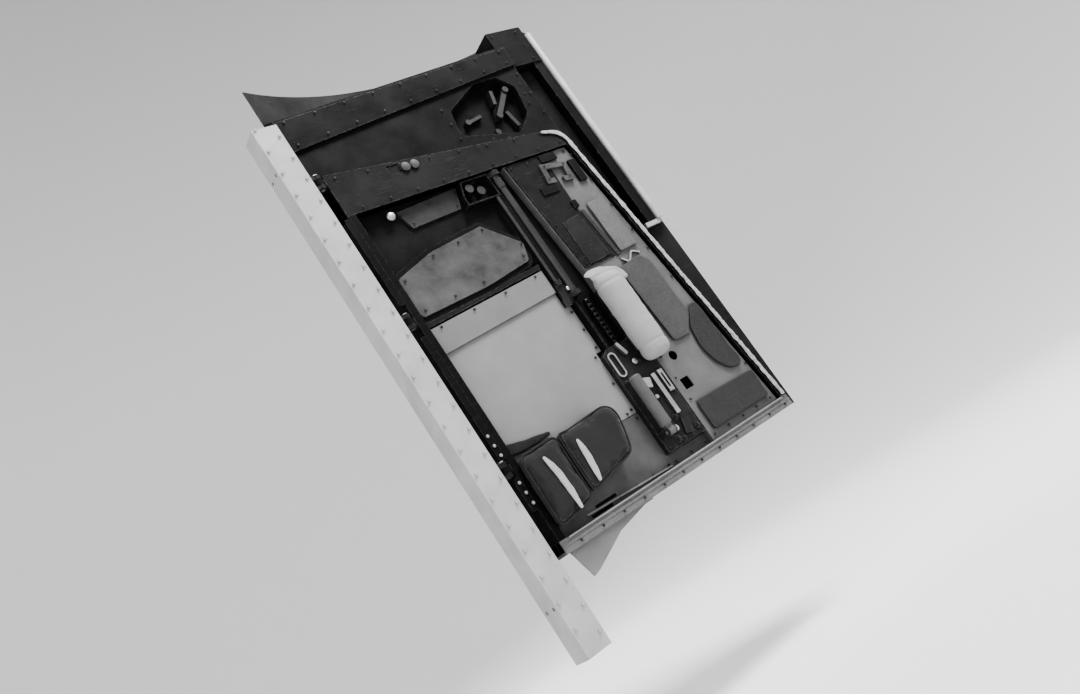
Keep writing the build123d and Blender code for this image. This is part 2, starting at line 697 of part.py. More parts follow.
handle_pin = rod_x(handle_pin_radius, (handle_x - ear_far, handle_x + ear_far), pivot_y, pivot_z)

# Right half: raised panel, plates, box fittings and pads
facet_top_z = front_beam_z - facet_clearance
facet_step_z = latch_box_nose_z + facet_clearance + latch_box_gap
facet_low_x = latch_box_free_x + 2 * facet_clearance
facet_rim = rim_beam_width + facet_rim_margin
facet_outline = flat_outline((
    (facet_low_x, aft_beam_width), (rim_x(aft_beam_width) - facet_rim, aft_beam_width),
    (rim_x(facet_top_z) - facet_rim, facet_top_z), (facet_hinge_x[2], facet_top_z),
    (facet_hinge_x[1], facet_knee_z), (facet_hinge_x[0], facet_step_z), (facet_low_x, facet_step_z)))
facet_y = floor_y - facet_height
facet_panel = tray(facet_outline, facet_y, floor_y, facet_wall)
facet_panel -= rod_y(hole_radius, (facet_y, facet_y + facet_wall), *hole_place)
facet_panel -= plate(Pos(*square_place) * Rectangle(square_size, square_size), facet_y, facet_y + facet_wall)
upper_plate = plate(flat_outline(upper_plate_outline), facet_y - plate_height, facet_y)
plate_face_y = facet_y - plate_height
lower_plate = plate(flat_outline(lower_plate_outline), plate_face_y - overlay_height, plate_face_y)
bracket_area = flat_outline(bracket_outline)
bracket_ring = bracket_area - offset(bracket_area, -bracket_width, kind=Kind.INTERSECTION)
bracket_corner = bracket_outline[-1]
bracket_mouth = rectangle((bracket_corner[0] + 2 * bracket_width, bracket_outline[2][0] - 2 * bracket_width),
                          (bracket_corner[1] - bracket_width, bracket_corner[1] + bracket_width))
bars = []
for x0, x1, z0, z1 in dark_bars:
    bar = plate(rectangle((x0, x1), (z0, z1)), facet_y - dark_bar_height, facet_y)
    bars.append(bar - upper_plate)
box_bracket = plate(bracket_ring - bracket_mouth, facet_y - bracket_height, facet_y) - upper_plate
bracket_bars = Compound(children=bars)
pad_back_y = facet_y - soft_gap
pad_front_y = pad_back_y - pad_thickness
light_pad = plate(cut_outline(light_pad_outline, pad_corner_cut), pad_front_y, pad_back_y)
hold_strap = plate(trace(Line(*hold_strap_line), hold_strap_width), pad_front_y, pad_back_y)
s_hook = plate(trace(FilletPolyline(*hook_line, radius=hook_bend), hook_width), pad_front_y, pad_back_y)
padded_roll = stud_z(roll_radius, roll_sides, roll_z, roll_x, pad_back_y - roll_radius)
roll_ends = padded_roll.faces().sort_by(Axis.Z)
padded_roll = chamfer(roll_ends[0].edges() + roll_ends[-1].edges(), roll_bevel)
strip_pad = plate(cut_outline(strip_pad_outline, pad_corner_cut), pad_front_y, pad_back_y)
crescent_pad = plate(cut_outline(crescent_pad_outline, pad_corner_cut), pad_front_y, pad_back_y)
square_pad = plate(cut_outline(square_pad_outline, pad_corner_cut), pad_front_y, pad_back_y)

# Nose bay
nose_front_y = nose_panel_y - nose_strip_height
nose_across = nose_panel_free_x - hatch_hinge_x
nose_skew = nose_wall_hinge_inset - nose_wall_free_inset
nose_wall_plane = Plane(
    origin=(hatch_hinge_x, nose_front_y, hatch_length - nose_wall_hinge_inset),
    x_dir=(nose_across, 0, nose_skew), z_dir=(-nose_skew, -nose_wall_lean * nose_across, nose_across))
nose_wall_face = Rectangle(2 * hatch_length, 2 * skin_reach)
nose_span = block((hatch_hinge_x, nose_panel_free_x), (nose_front_y, skin_reach), (0, hatch_length))
nose_wall = extrude(nose_wall_plane * nose_wall_face, -nose_wall_thickness) & nose_span & room
beyond_wall = extrude(nose_wall_plane.offset(-nose_wall_thickness) * nose_wall_face, hatch_length)
nose_area = flat_outline((
    (hatch_hinge_x, front_beam_hinge_z), (rim_nose_x, rim_nose_z), (nose_panel_free_x, rim_nose_z),
    (nose_panel_free_x, hatch_length), (hatch_hinge_x, hatch_length)))
pocket_face = flat_outline([(x, hatch_length - inset) for x, inset in pocket_outline], pocket_corner_radius)
nose_panel_back_y = nose_panel_y + nose_panel_thickness
nose_panel = plate(nose_area, nose_panel_y, nose_panel_back_y) - plate(pocket_face, 0, skin_reach) - beyond_wall
strip_area = flat_outline((
    (hatch_hinge_x, hatch_length - nose_strip_hinge_inset),
    (nose_panel_free_x, hatch_length - nose_strip_free_inset),
    (nose_panel_free_x, hatch_length), (hatch_hinge_x, hatch_length)))
nose_strip = plate(strip_area, nose_front_y, nose_panel_y) - beyond_wall
side_wall_x = (nose_panel_free_x - nose_wall_thickness, nose_panel_free_x)
side_wall_area = rectangle(side_wall_x, (rim_nose_z, hatch_length))
nose_side_wall = (plate(side_wall_area, nose_panel_back_y, skin_reach) - beyond_wall) & room
pocket_back_y = nose_panel_y + pocket_depth
pocket_floor_y = pocket_back_y - pocket_wall
pocket_area = offset(pocket_face, pocket_wall, kind=Kind.INTERSECTION)
latch_pocket = plate(pocket_area, nose_panel_back_y, pocket_back_y)
latch_pocket -= plate(pocket_face, 0, pocket_floor_y)
latch_fittings = None
for start, end, width, rise in latch_arm_lines:
    arm_line = Line((start[0], hatch_length - start[1]), (end[0], hatch_length - end[1]))
    arm = plate(trace(arm_line, width), pocket_floor_y - rise, pocket_floor_y)
    latch_fittings = arm if latch_fittings is None else latch_fittings + arm
for (x, inset), radius, rise in latch_studs:
    stud_top_y = pocket_floor_y - rise
    latch_fittings += stud_y(radius, fitting_sides, (stud_top_y, pocket_floor_y), x, hatch_length - inset)

# Sill beam: a channel open to the outside, with the fixed hinge lugs
beam_x = (-beam_to_axis - beam_width, -beam_to_axis)
beam_y = (-beam_front_to_axis, -beam_front_to_axis + beam_depth)
beam_z = (-beam_aft_overhang, beam_length - beam_aft_overhang)
sill_beam = block(beam_x, beam_y, beam_z)
sill_beam -= block((beam_x[0] + beam_wall, beam_x[1] - beam_wall), (beam_y[0] + beam_wall, beam_y[1]),
                   (beam_z[0] + beam_wall, beam_z[1] - beam_wall))
beam_middle_y = sum(beam_y) / 2
beam_middle_z = sum(beam_z) / 2
bolt_x = (beam_x[0], beam_x[0] + beam_wall)
for z in (-beam_bolt_span / 2, beam_bolt_span / 2):
    for y in (-beam_bolt_pitch / 2, beam_bolt_pitch / 2):
        sill_beam -= rod_x(beam_bolt_radius, bolt_x, beam_middle_y + y, beam_middle_z + z)
tongues = []
pins = []
for station in hinge_stations:
    half_tongue = hinge_tongue_thickness / 2
    lug_near = half_tongue + hinge_side_gap
    lug_far = lug_near + hinge_lug_thickness
    for low, high in ((station - lug_far, station - lug_near), (station + lug_near, station + lug_far)):
        knuckle = stud_z(hinge_boss_radius, boss_sides, (low, high), 0, 0)
        knuckle += block((-beam_to_axis, 0), (-beam_front_to_axis, hinge_boss_radius), (low, high))
        sill_beam += knuckle - rod_z(hinge_pin_radius, (low, high), 0, 0)
    tongue_z = (station - half_tongue, station + half_tongue)
    tongue = stud_z(hinge_boss_radius, boss_sides, tongue_z, 0, 0)
    tongue += block((0, hatch_hinge_x), (0, hinge_boss_radius), tongue_z)
    tongue -= rod_z(hinge_pin_radius + hinge_running_gap, tongue_z, 0, 0)
    tongues.append(tongue)
    pin = rod_z(hinge_pin_radius, (station - lug_far, station + lug_far), 0, 0)
    pin_head_z = (station + lug_far, station + lug_far + pin_head_length)
    pin += stud_z(pin_head_radius, pin_head_sides, pin_head_z, 0, 0)
    pins.append(pin)
hinge_tongues = Compound(children=tongues)
hinge_pins = Compound(children=pins)

nodes = {
    "sill_beam": sill_beam,
    "hinge_pins": hinge_pins,
    "hinge_tongues": hinge_tongues,
    "outer_skin": outer_skin,
    "window_bezel": window_bezel,
    "edge_tube": edge_tube,
    "edge_flank": edge_flank,
    "corner_cap": corner_cap,
    "aft_beam": aft_beam,
    "aft_lip": aft_lip,
    "front_beam": front_beam,
    "hinge_longeron": hinge_longeron,
    "free_longeron": free_longeron,
    "free_edge_rim": free_edge_rim,
    "inner_floor": inner_floor,
    "window_frame": window_frame,
    "window_cover": window_cover,
    "window_tunnel": window_tunnel,
    "window_pane": window_pane,
    "cross_member": cross_member,
    "inner_panel": inner_panel,
    "aft_plate": aft_plate,
    "inset_plate": inset_plate,
    "pouch_left": pouch_left,
    "pouch_right": pouch_right,
    "pouch_flap": pouch_flap,
    "pouch_straps": pouch_straps,
    "torque_tube": torque_tube,
    "torque_brackets": torque_brackets,
    "push_rod": push_rod,
    "roller_box": roller_box,
    "guide_rollers": guide_rollers,
    "drive_rails": drive_rails,
    "drive_chain": drive_chain,
    "latch_box": latch_box,
    "release_ring": release_ring,
    "latch_slides": latch_slides,
    "latch_arm": latch_arm,
    "latch_handle": latch_handle,
    "handle_clevis": handle_clevis,
    "handle_pin": handle_pin,
    "facet_panel": facet_panel,
    "upper_plate": upper_plate,
    "lower_plate": lower_plate,
    "box_bracket": box_bracket,
    "bracket_bars": bracket_bars,
    "light_pad": light_pad,
    "hold_strap": hold_strap,
    "s_hook": s_hook,
    "padded_roll": padded_roll,
    "strip_pad": strip_pad,
    "crescent_pad": crescent_pad,
    "square_pad": square_pad,
    "nose_panel": nose_panel,
    "nose_strip": nose_strip,
    "nose_wall": nose_wall,
    "nose_side_wall": nose_side_wall,
    "latch_pocket": latch_pocket,
    "latch_fittings": latch_fittings,
}

os.makedirs("parts", exist_ok=True)
to_mount = Pos(-beam_x[0], -beam_middle_y, -beam_middle_z)
for name, shape in nodes.items():
    export_step(to_mount * shape, f"parts/{name}.step")
print("hinge axis at", -beam_x[0], -beam_middle_y, "aft end at", -beam_middle_z)
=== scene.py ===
# %% [markdown]
# # Crew hatch of a small space capsule
# The rigid pieces come from the CAD model and keep their shapes. This script gives them
# their finishes, adds the soft pieces, the fasteners and the wear, and sets up the studio.

# %% Load the hatch
import json
import math
import random

import bmesh
import bpy
from mathutils import Matrix, Vector, noise
from mathutils.bvhtree import BVHTree


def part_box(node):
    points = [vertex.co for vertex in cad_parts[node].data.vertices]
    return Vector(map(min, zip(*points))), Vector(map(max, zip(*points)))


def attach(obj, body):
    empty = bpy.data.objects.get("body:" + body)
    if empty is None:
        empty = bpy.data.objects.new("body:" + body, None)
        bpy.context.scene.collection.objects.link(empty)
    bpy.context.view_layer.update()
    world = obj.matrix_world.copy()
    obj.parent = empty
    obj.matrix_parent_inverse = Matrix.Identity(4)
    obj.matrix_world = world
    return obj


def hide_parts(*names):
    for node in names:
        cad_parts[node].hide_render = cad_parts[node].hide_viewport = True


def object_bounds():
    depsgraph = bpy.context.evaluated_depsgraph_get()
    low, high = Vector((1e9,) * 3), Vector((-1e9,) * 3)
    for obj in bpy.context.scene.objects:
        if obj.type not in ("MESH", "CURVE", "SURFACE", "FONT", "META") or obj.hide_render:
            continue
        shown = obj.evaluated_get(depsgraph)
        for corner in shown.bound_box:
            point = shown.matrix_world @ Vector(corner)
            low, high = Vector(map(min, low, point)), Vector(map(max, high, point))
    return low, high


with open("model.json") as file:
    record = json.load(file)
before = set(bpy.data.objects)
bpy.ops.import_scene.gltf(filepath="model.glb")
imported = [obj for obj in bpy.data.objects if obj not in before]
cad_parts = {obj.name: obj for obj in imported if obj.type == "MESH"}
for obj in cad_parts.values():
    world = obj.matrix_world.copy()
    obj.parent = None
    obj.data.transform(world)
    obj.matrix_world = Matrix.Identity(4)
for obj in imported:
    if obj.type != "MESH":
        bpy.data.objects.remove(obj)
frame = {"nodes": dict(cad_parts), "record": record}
cad_low, cad_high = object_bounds()
print("hatch box", [round(v, 3) for v in (*cad_low, *cad_high)])

# %% [markdown]
# The hatch was drawn in millimetres from its own hinge axis: X runs to the free edge, Y out
# to the skin and Z to the nose. The same numbers are handy here, so one helper turns such a
# place into the frame's metres. The sill beam's lowest corner is a known place in both.

# %% Places on the hatch
MM = 0.001
BEAM_CORNER = Vector((-73.0, -8.0, -180.0))
hinge_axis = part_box("sill_beam")[0] - BEAM_CORNER * MM


def at(x, y, z):
    """A place on the hatch, in millimetres from the hinge axis, as a point in metres."""
    return hinge_axis + Vector((x, y, z)) * MM


print("hinge axis at", [round(v, 4) for v in hinge_axis])

# %% [markdown]
# The viewpoint is low and to the hinge side, and the camera is rolled, so the hatch leans
# across the picture. The directions were worked out from the hatch's own straight edges.
# Only the aim and the lens are chosen, so that the whole hatch fills the frame.

# %% Camera
CAMERA_PLACE = at(-994.0, -1672.0, -7.0)
PICTURE_UP = Vector((0.331, -0.494, 0.804))
AIM_SHIFT = Vector((-0.1, 0.0, -0.12))
aim_point = (cad_low + cad_high) / 2 + AIM_SHIFT


def new_object(name, data):
    """A new object in the scene, for a camera, a lamp or a mesh."""
    made = bpy.data.objects.new(name, data)
    bpy.context.scene.collection.objects.link(made)
    return made


camera = new_object("camera", bpy.data.cameras.new("camera"))
view_back = (CAMERA_PLACE - aim_point).normalized()
view_right = PICTURE_UP.cross(view_back).normalized()
view_up = view_back.cross(view_right)
camera.matrix_world = Matrix.Translation(CAMERA_PLACE) @ Matrix(
    (view_right, view_up, view_back)).transposed().to_4x4()
camera.data.sensor_width = 36.0
camera.data.lens = 33.0
camera.data.clip_end = 50.0
bpy.context.scene.camera = camera
print("camera is", round((CAMERA_PLACE - aim_point).length, 2), "m from the hatch")

# %% [markdown]
# A photo studio uses one sheet of pale paper for floor and wall, with a wide bend between
# them, so that no edge shows behind the object. Here the same section is turned round the
# hatch into a bowl, so no view shows an edge.

# %% Floor and backdrop
FLOOR_DROP = 0.25
MIDDLE_RADIUS = 0.5
BOWL_RADIUS = 7.0
BEND_RADIUS = 3.5
WALL_HEIGHT = 9.0
BEND_STEPS = 24
TURN_STEPS = 96


def circle(count):
    """Cosine and sine of angles spaced evenly round a circle."""
    angles = [2 * math.pi * i / count for i in range(count)]
    return [(math.cos(angle), math.sin(angle)) for angle in angles]


def join_rings(bm, low, high):
    """Adds the faces between two closed rings of vertices."""
    for i in range(len(low)):
        j = (i + 1) % len(low)
        bm.faces.new((low[i], low[j], high[j], high[i]))


floor_height = cad_low.z - FLOOR_DROP
bowl_line = [(MIDDLE_RADIUS, floor_height)]
for step in range(BEND_STEPS + 1):
    angle = math.radians(90 * step / BEND_STEPS)
    bowl_line.append((BOWL_RADIUS - BEND_RADIUS * (1 - math.sin(angle)),
                      floor_height + BEND_RADIUS * (1 - math.cos(angle))))
bowl_line.append((BOWL_RADIUS, WALL_HEIGHT))
bm = bmesh.new()
rings = []
for radius, height in bowl_line:
    rings.append([bm.verts.new((radius * c, radius * s, height)) for c, s in circle(TURN_STEPS)])
for inner, outer in zip(rings, rings[1:]):
    join_rings(bm, inner, outer)
bm.faces.new(reversed(rings[0]))
backdrop_mesh = bpy.data.meshes.new("backdrop")
bm.to_mesh(backdrop_mesh)
bm.free()
backdrop_mesh.shade_smooth()
backdrop = new_object("backdrop", backdrop_mesh)
paper = bpy.data.materials.new("studio_paper")
paper.use_nodes = True
paper_shader = paper.node_tree.nodes["Principled BSDF"]
paper_shader.inputs["Base Color"].default_value = (0.86, 0.86, 0.86, 1)
paper_shader.inputs["Roughness"].default_value = 0.95
paper_shader.inputs["Specular IOR Level"].default_value = 0.1
backdrop_mesh.materials.append(paper)
print("floor at", round(floor_height, 3))

# %% [markdown]
# The light is soft. A large lamp stands above the nose end, so raised sheets throw a soft
# shadow toward the aft end. It stays clear of the mirror direction of the flat panels, or
# its glare would wash out the dark paint. A weaker lamp fills in from the hinge side, and a
# third lights the outer skin for the views from behind.

# %% Lights
LAMPS = (
    # name, place, width, watts
    ("key", (1.6, -1.5, 2.9), 1.2, 235.0),
    ("fill", (-2.4, -1.9, 0.9), 2.6, 75.0),
    ("back", (0.9, 3.0, 1.8), 2.4, 95.0),
)
AIR_LIGHT = 0.42
lamp_aim = (cad_low + cad_high) / 2
for name, place, width, watts in LAMPS:
    lamp = new_object(name, bpy.data.lights.new(name, "AREA"))
    lamp.data.size = width
    lamp.data.energy = watts
    lamp.location = place
    lamp.rotation_euler = (lamp_aim - lamp.location).to_track_quat("-Z", "Y").to_euler()
world = bpy.data.worlds.new("studio_air")
world.use_nodes = True
air = world.node_tree.nodes["Background"]
air.inputs["Color"].default_value = (0.9, 0.9, 0.9, 1)
air.inputs["Strength"].default_value = AIR_LIGHT
bpy.context.scene.world = world
bpy.context.scene.view_settings.view_transform = "AgX"
bpy.context.scene.view_settings.look = "AgX - Medium High Contrast"
print(len(LAMPS), "lamps")

# %% [markdown]
# Node trees are easier to read when each node is one short line. These helpers add a node
# with its settings, start a group with named inputs and outputs, and write sums, products,
# noise and ranges as plain calls.

# %% Helpers for node trees


def add(tree, kind, inputs=None, **settings):
    """Adds a shader node; inputs gives socket values, or sockets of other nodes to link."""
    node = tree.nodes.new("ShaderNode" + kind)
    for key, value in settings.items():
        setattr(node, key, value)
    for key, value in (inputs or {}).items():
        if isinstance(value, bpy.types.NodeSocket):
            tree.links.new(value, node.inputs[key])
        else:
            node.inputs[key].default_value = value
    return node


def start_group(name, takes, gives):
    """A node group with number inputs and mask or height outputs, and its two end nodes."""
    tree = bpy.data.node_groups.new(name, "ShaderNodeTree")
    kind = "NodeSocketFloat"
    for socket_name, value in takes:
        socket = tree.interface.new_socket(socket_name, in_out="INPUT", socket_type=kind)
        socket.default_value = value
    for socket_name in gives:
        tree.interface.new_socket(socket_name, in_out="OUTPUT", socket_type=kind)
    return tree, tree.nodes.new("NodeGroupInput"), tree.nodes.new("NodeGroupOutput")


def math_node(tree, operation, a, b=0.0, clamp=False):
    """The result socket of one sum."""
    return add(tree, "Math", {0: a, 1: b}, operation=operation, use_clamp=clamp).outputs[0]


def multiply(tree, a, b, clamp=False):
    """The product of two sockets or numbers."""
    return math_node(tree, "MULTIPLY", a, b, clamp)


def object_place(tree):
    """The place of a shaded point in its piece's own coordinates."""
    return add(tree, "TexCoord").outputs["Object"]


def noise_mask(tree, where, scale, detail, roughness=0.5):
    """Noise between 0 and 1 at a place."""
    return add(tree, "TexNoise", {"Vector": where, "Scale": scale, "Detail": detail,
                                  "Roughness": roughness}).outputs["Fac"]


def stretch(tree, value, low, high, to_low=0.0, to_high=1.0):
    """Spreads the range from low to high over a new range, with clamped ends."""
    return add(tree, "MapRange", {"Value": value, "From Min": low, "From Max": high,
                                  "To Min": to_low, "To Max": to_high}).outputs[0]


# %% [markdown]
# Paint on a working hatch goes first where hands and tools touch it: along the edges. A
# bevel node turns the normal near an edge, so the difference from the true normal marks the
# edge. Noise breaks the line up, because a real worn edge is never an even stripe.

# %% Edge wear
EDGE_CONTRAST = 9.0
edge_wear, wear_in, wear_out = start_group(
    "edge_wear", (("Width", 0.0015), ("Amount", 0.5)), ("Mask",))
bevel = add(edge_wear, "Bevel", {"Radius": wear_in.outputs["Width"]}, samples=4)
true_normal = add(edge_wear, "NewGeometry").outputs["Normal"]
agree = add(edge_wear, "VectorMath", {0: bevel.outputs[0], 1: true_normal},
            operation="DOT_PRODUCT").outputs["Value"]
edge = multiply(edge_wear, math_node(edge_wear, "SUBTRACT", 1.0, agree), EDGE_CONTRAST, clamp=True)
breakup = noise_mask(edge_wear, object_place(edge_wear), 95.0, 5.0, 0.7)
patchy = stretch(edge_wear, breakup, 0.42, 0.62)
worn = multiply(edge_wear, multiply(edge_wear, edge, patchy), wear_in.outputs["Amount"], clamp=True)
edge_wear.links.new(worn, wear_out.inputs["Mask"])
print("group", edge_wear.name)

# %% [markdown]
# Handling also leaves marks in the open: cloudy smudges and long faint scratches that run
# across the hatch. The third mask is painted shade: ambient occlusion darkens corners and
# crevices, where shade falls. One group gives the three masks, and each finish takes what it needs.

# %% Handling marks and painted corner shade
SCRATCH_SETS = (
    # how far a noise pattern is turned, in radians, and squeezed into thin lines
    (0.5, 36.0), (-0.9, 44.0),
)
marks_and_shade, marks_in, marks_out = start_group(
    "handling_marks_and_corner_shade", (("Cloud scale", 9.0), ("Scratch scale", 24.0)),
    ("Cloud", "Scratches", "Corner shade"))
where = object_place(marks_and_shade)
cloud = noise_mask(marks_and_shade, where, marks_in.outputs["Cloud scale"], 6.0, 0.62)
cloud_mask = stretch(marks_and_shade, cloud, 0.35, 0.68)
marks_and_shade.links.new(cloud_mask, marks_out.inputs["Cloud"])
scratch_lines = []
for turn, squeeze in SCRATCH_SETS:
    turned = add(marks_and_shade, "Mapping", {"Vector": where, "Rotation": (0.0, turn, 0.0),
                                    "Scale": (1.0, 1.0, squeeze)}).outputs[0]
    lines = noise_mask(marks_and_shade, turned, marks_in.outputs["Scratch scale"], 2.0)
    scratch_lines.append(stretch(marks_and_shade, lines, 0.68, 0.76))
scratches = math_node(marks_and_shade, "MAXIMUM", scratch_lines[0], scratch_lines[1])
marks_and_shade.links.new(multiply(marks_and_shade, scratches, cloud_mask), marks_out.inputs["Scratches"])
# Painted shade: an ambient-occlusion mask that darkens corners and crevices.
corner = add(marks_and_shade, "AmbientOcclusion", {"Distance": 0.03}, samples=6).outputs["AO"]
marks_and_shade.links.new(stretch(marks_and_shade, corner, 0.85, 0.35), marks_out.inputs["Corner shade"])
print("group", marks_and_shade.name)

# %% [markdown]
# Woven cloth is two sets of threads that pass over and under each other. Two sine waves
# across the surface give the threads, and their product changes sign with each crossing.

# %% Weave
weave, weave_in, weave_out = start_group(
    "weave", (("Threads per metre", 900.0),), ("Height", "Tone"))
where = object_place(weave)
axes = add(weave, "SeparateXYZ", {0: where})
turns = multiply(weave, weave_in.outputs["Threads per metre"], math.pi)
side_way = math_node(weave, "ADD", axes.outputs["X"], axes.outputs["Y"])
warp = math_node(weave, "SINE", multiply(weave, side_way, turns))
weft = math_node(weave, "SINE", multiply(weave, axes.outputs["Z"], turns))
crossing = multiply(weave, warp, weft)
uneven = noise_mask(weave, where, 240.0, 3.0)
thread_height = math_node(weave, "ADD", multiply(weave, crossing, 0.5), uneven)
weave.links.new(thread_height, weave_out.inputs["Height"])
weave.links.new(stretch(weave, thread_height, -0.1, 1.1), weave_out.inputs["Tone"])
print("group", weave.name)

# %% [markdown]
# The photograph is black and white, so every finish is a neutral grey. Paint is a Principled
# shader whose colour goes through three mixes: cloudy smudges, painted shade in corners, and
# bare metal along the edges and in the scratches. Worn places are also smoother and metallic.

# %% Paint
PAINT_GRAIN_SCALE = 900.0
MATT_GLOSS = 0.12
SCRATCH_SHARE = 0.45
BARE_METAL = 0.45
WEAR_WIDTH = 0.0014
finishes = {}


def grey(level):
    """A neutral colour with full alpha."""
    return (level, level, level, 1.0)


def use_group(tree, group, values):
    """Places a shared group in a material and sets its number inputs."""
    node = add(tree, "Group", node_tree=group)
    for key, value in values.items():
        node.inputs[key].default_value = value
    return node


def mix_colour(tree, mask, first, second):
    """The colour between two others, by a mask."""
    node = add(tree, "Mix", data_type="RGBA")
    tree.links.new(mask, node.inputs[0])
    for socket, value in ((node.inputs[6], first), (node.inputs[7], second)):
        if isinstance(value, bpy.types.NodeSocket):
            tree.links.new(value, socket)
        else:
            socket.default_value = value
    return node.outputs[2]


def start_finish(name):
    """Starts a finish, and gives its node tree and its Principled shader."""
    material = finishes[name] = bpy.data.materials.new(name)
    material.use_nodes = True
    return material.node_tree, material.node_tree.nodes["Principled BSDF"]


def bump_to(tree, shader, height, strength, distance):
    """Feeds a height into the shader's normal."""
    bump = add(tree, "Bump", {"Height": height, "Strength": strength, "Distance": distance})
    tree.links.new(bump.outputs[0], shader.inputs["Normal"])


def paint(name, tone, roughness, wear=0.5, smudge=0.25, corner_shade=0.5):
    """Satin paint on metal, with smudges, painted shade in corners and worn edges."""
    tree, shader = start_finish(name)
    use_and_shade = use_group(tree, marks_and_shade, {"Cloud scale": 11.0})
    edges = use_group(tree, edge_wear, {"Width": WEAR_WIDTH, "Amount": wear})
    cloud = use_and_shade.outputs["Cloud"]
    smudged = mix_colour(tree, cloud, grey(tone * (1 + smudge)), grey(tone * (1 - smudge)))
    # Painted shade: ambient occlusion darkens the paint in corners and crevices.
    corner_shade_mask = multiply(tree, use_and_shade.outputs["Corner shade"], corner_shade)
    corner_shaded = mix_colour(tree, corner_shade_mask, smudged, grey(tone * 0.25))
    scratch_mask = multiply(tree, use_and_shade.outputs["Scratches"], wear * SCRATCH_SHARE)
    bare_mask = math_node(tree, "MAXIMUM", edges.outputs["Mask"], scratch_mask)
    worn = mix_colour(tree, bare_mask, corner_shaded, grey(BARE_METAL))
    tree.links.new(worn, shader.inputs["Base Color"])
    tree.links.new(multiply(tree, bare_mask, 0.7), shader.inputs["Metallic"])
    rough = stretch(tree, cloud, 0.0, 1.0, roughness - 0.08, roughness + 0.1)
    tree.links.new(rough, shader.inputs["Roughness"])
    grain = noise_mask(tree, object_place(tree), PAINT_GRAIN_SCALE, 3.0)
    height = math_node(tree, "SUBTRACT", grain, multiply(tree, bare_mask, 0.6))
    bump_to(tree, shader, height, 0.35, 0.0004)
    shader.inputs["Specular IOR Level"].default_value = MATT_GLOSS


paint("structure_dark", 0.006, 0.75, wear=0.3)
paint("band_black", 0.003, 0.78, wear=0.25, smudge=0.2)
paint("bay_dark", 0.005, 0.74, wear=0.35, smudge=0.3)
paint("frame_dark", 0.01, 0.7, wear=0.45)
paint("frame_grey", 0.018, 0.65)
paint("beam_grey", 0.13, 0.5, wear=0.6, smudge=0.2)
paint("lip_pale", 0.22, 0.5, wear=0.4, smudge=0.15)
paint("sill_pale", 0.36, 0.55, wear=0.4, smudge=0.1)
paint("skin_dark", 0.018, 0.66, wear=0.4, smudge=0.3, corner_shade=0.3)
paint("plate_grey", 0.08, 0.55)
paint("cover_grey", 0.065, 0.6, smudge=0.42)
paint("panel_white", 0.205, 0.55, wear=0.25, smudge=0.06, corner_shade=0.6)
paint("facet_light", 0.115, 0.5, wear=0.6, smudge=0.15)
paint("handle_grey", 0.095, 0.42, smudge=0.15)
print(len(finishes), "painted finishes")

# %% [markdown]
# Two pieces are painted in two tones. The sill beam is pale, but its knuckles and the face
# beside them are black like the hinge band. On the inner panel, the raised sheet along its
# nose end is a little darker than the rest. A mask by place tints the finished paint, so the
# marks of use show through.

# %% Two-tone pieces
KNUCKLE_EDGE_X = hinge_axis.x - 13.2 * MM
RAISED_SHEET_Y = hinge_axis.y + 21.0 * MM


def two_tone(name, axis, side, edge, tone, share):
    """Tints a finish where it lies on one side of a place along an axis."""
    tree = finishes[name].node_tree
    shader = tree.nodes["Principled BSDF"]
    first = shader.inputs["Base Color"].links[0].from_socket
    along = add(tree, "SeparateXYZ", {0: object_place(tree)}).outputs[axis]
    mask = multiply(tree, math_node(tree, side, along, edge), share)
    tree.links.new(mix_colour(tree, mask, first, grey(tone)), shader.inputs["Base Color"])


two_tone("sill_pale", "X", "GREATER_THAN", KNUCKLE_EDGE_X, 0.004, 0.97)
two_tone("panel_white", "Y", "LESS_THAN", RAISED_SHEET_Y, 0.05, 0.28)
print("two finishes have a second tone")

# %% [markdown]
# Bare metal has no paint to wear off. Its look comes from fine tool lines and from
# roughness that changes in clouds where it was handled.

# %% Metal


def metal(name, tone, roughness, line_scale=(1.0, 1.0, 40.0), metallic=0.95):
    """Machined or drawn metal with fine lines."""
    tree, shader = start_finish(name)
    use_and_shade = use_group(tree, marks_and_shade, {"Cloud scale": 16.0})
    along = add(tree, "Mapping", {"Vector": object_place(tree), "Scale": line_scale}).outputs[0]
    lines = noise_mask(tree, along, 120.0, 4.0)
    clouded = mix_colour(tree, use_and_shade.outputs["Cloud"], grey(tone * 1.1), grey(tone * 0.8))
    # Painted shade: ambient occlusion darkens the metal in corners and crevices.
    corner_shade_mask = multiply(tree, use_and_shade.outputs["Corner shade"], 0.7)
    corner_shaded = mix_colour(tree, corner_shade_mask, clouded, grey(tone * 0.2))
    tree.links.new(corner_shaded, shader.inputs["Base Color"])
    shader.inputs["Metallic"].default_value = metallic
    rough = stretch(tree, lines, 0.0, 1.0, roughness - 0.08, roughness + 0.12)
    tree.links.new(rough, shader.inputs["Roughness"])
    bump_to(tree, shader, lines, 0.3, 0.0002)


metal("steel_bright", 0.5, 0.42)
metal("rod_dark", 0.04, 0.45, metallic=0.6)
metal("edge_pale", 0.45, 0.5, line_scale=(1.0, 1.0, 0.08), metallic=0.45)
metal("chain_dark", 0.05, 0.4, metallic=0.8)
print("metal finishes added")

# %% [markdown]
# The pouches are dark woven cloth, the straps pale webbing with a coarser thread, and the
# roll a white padded cloth. One maker of cloth finishes serves all, with sheen for the nap.

# %% Cloth


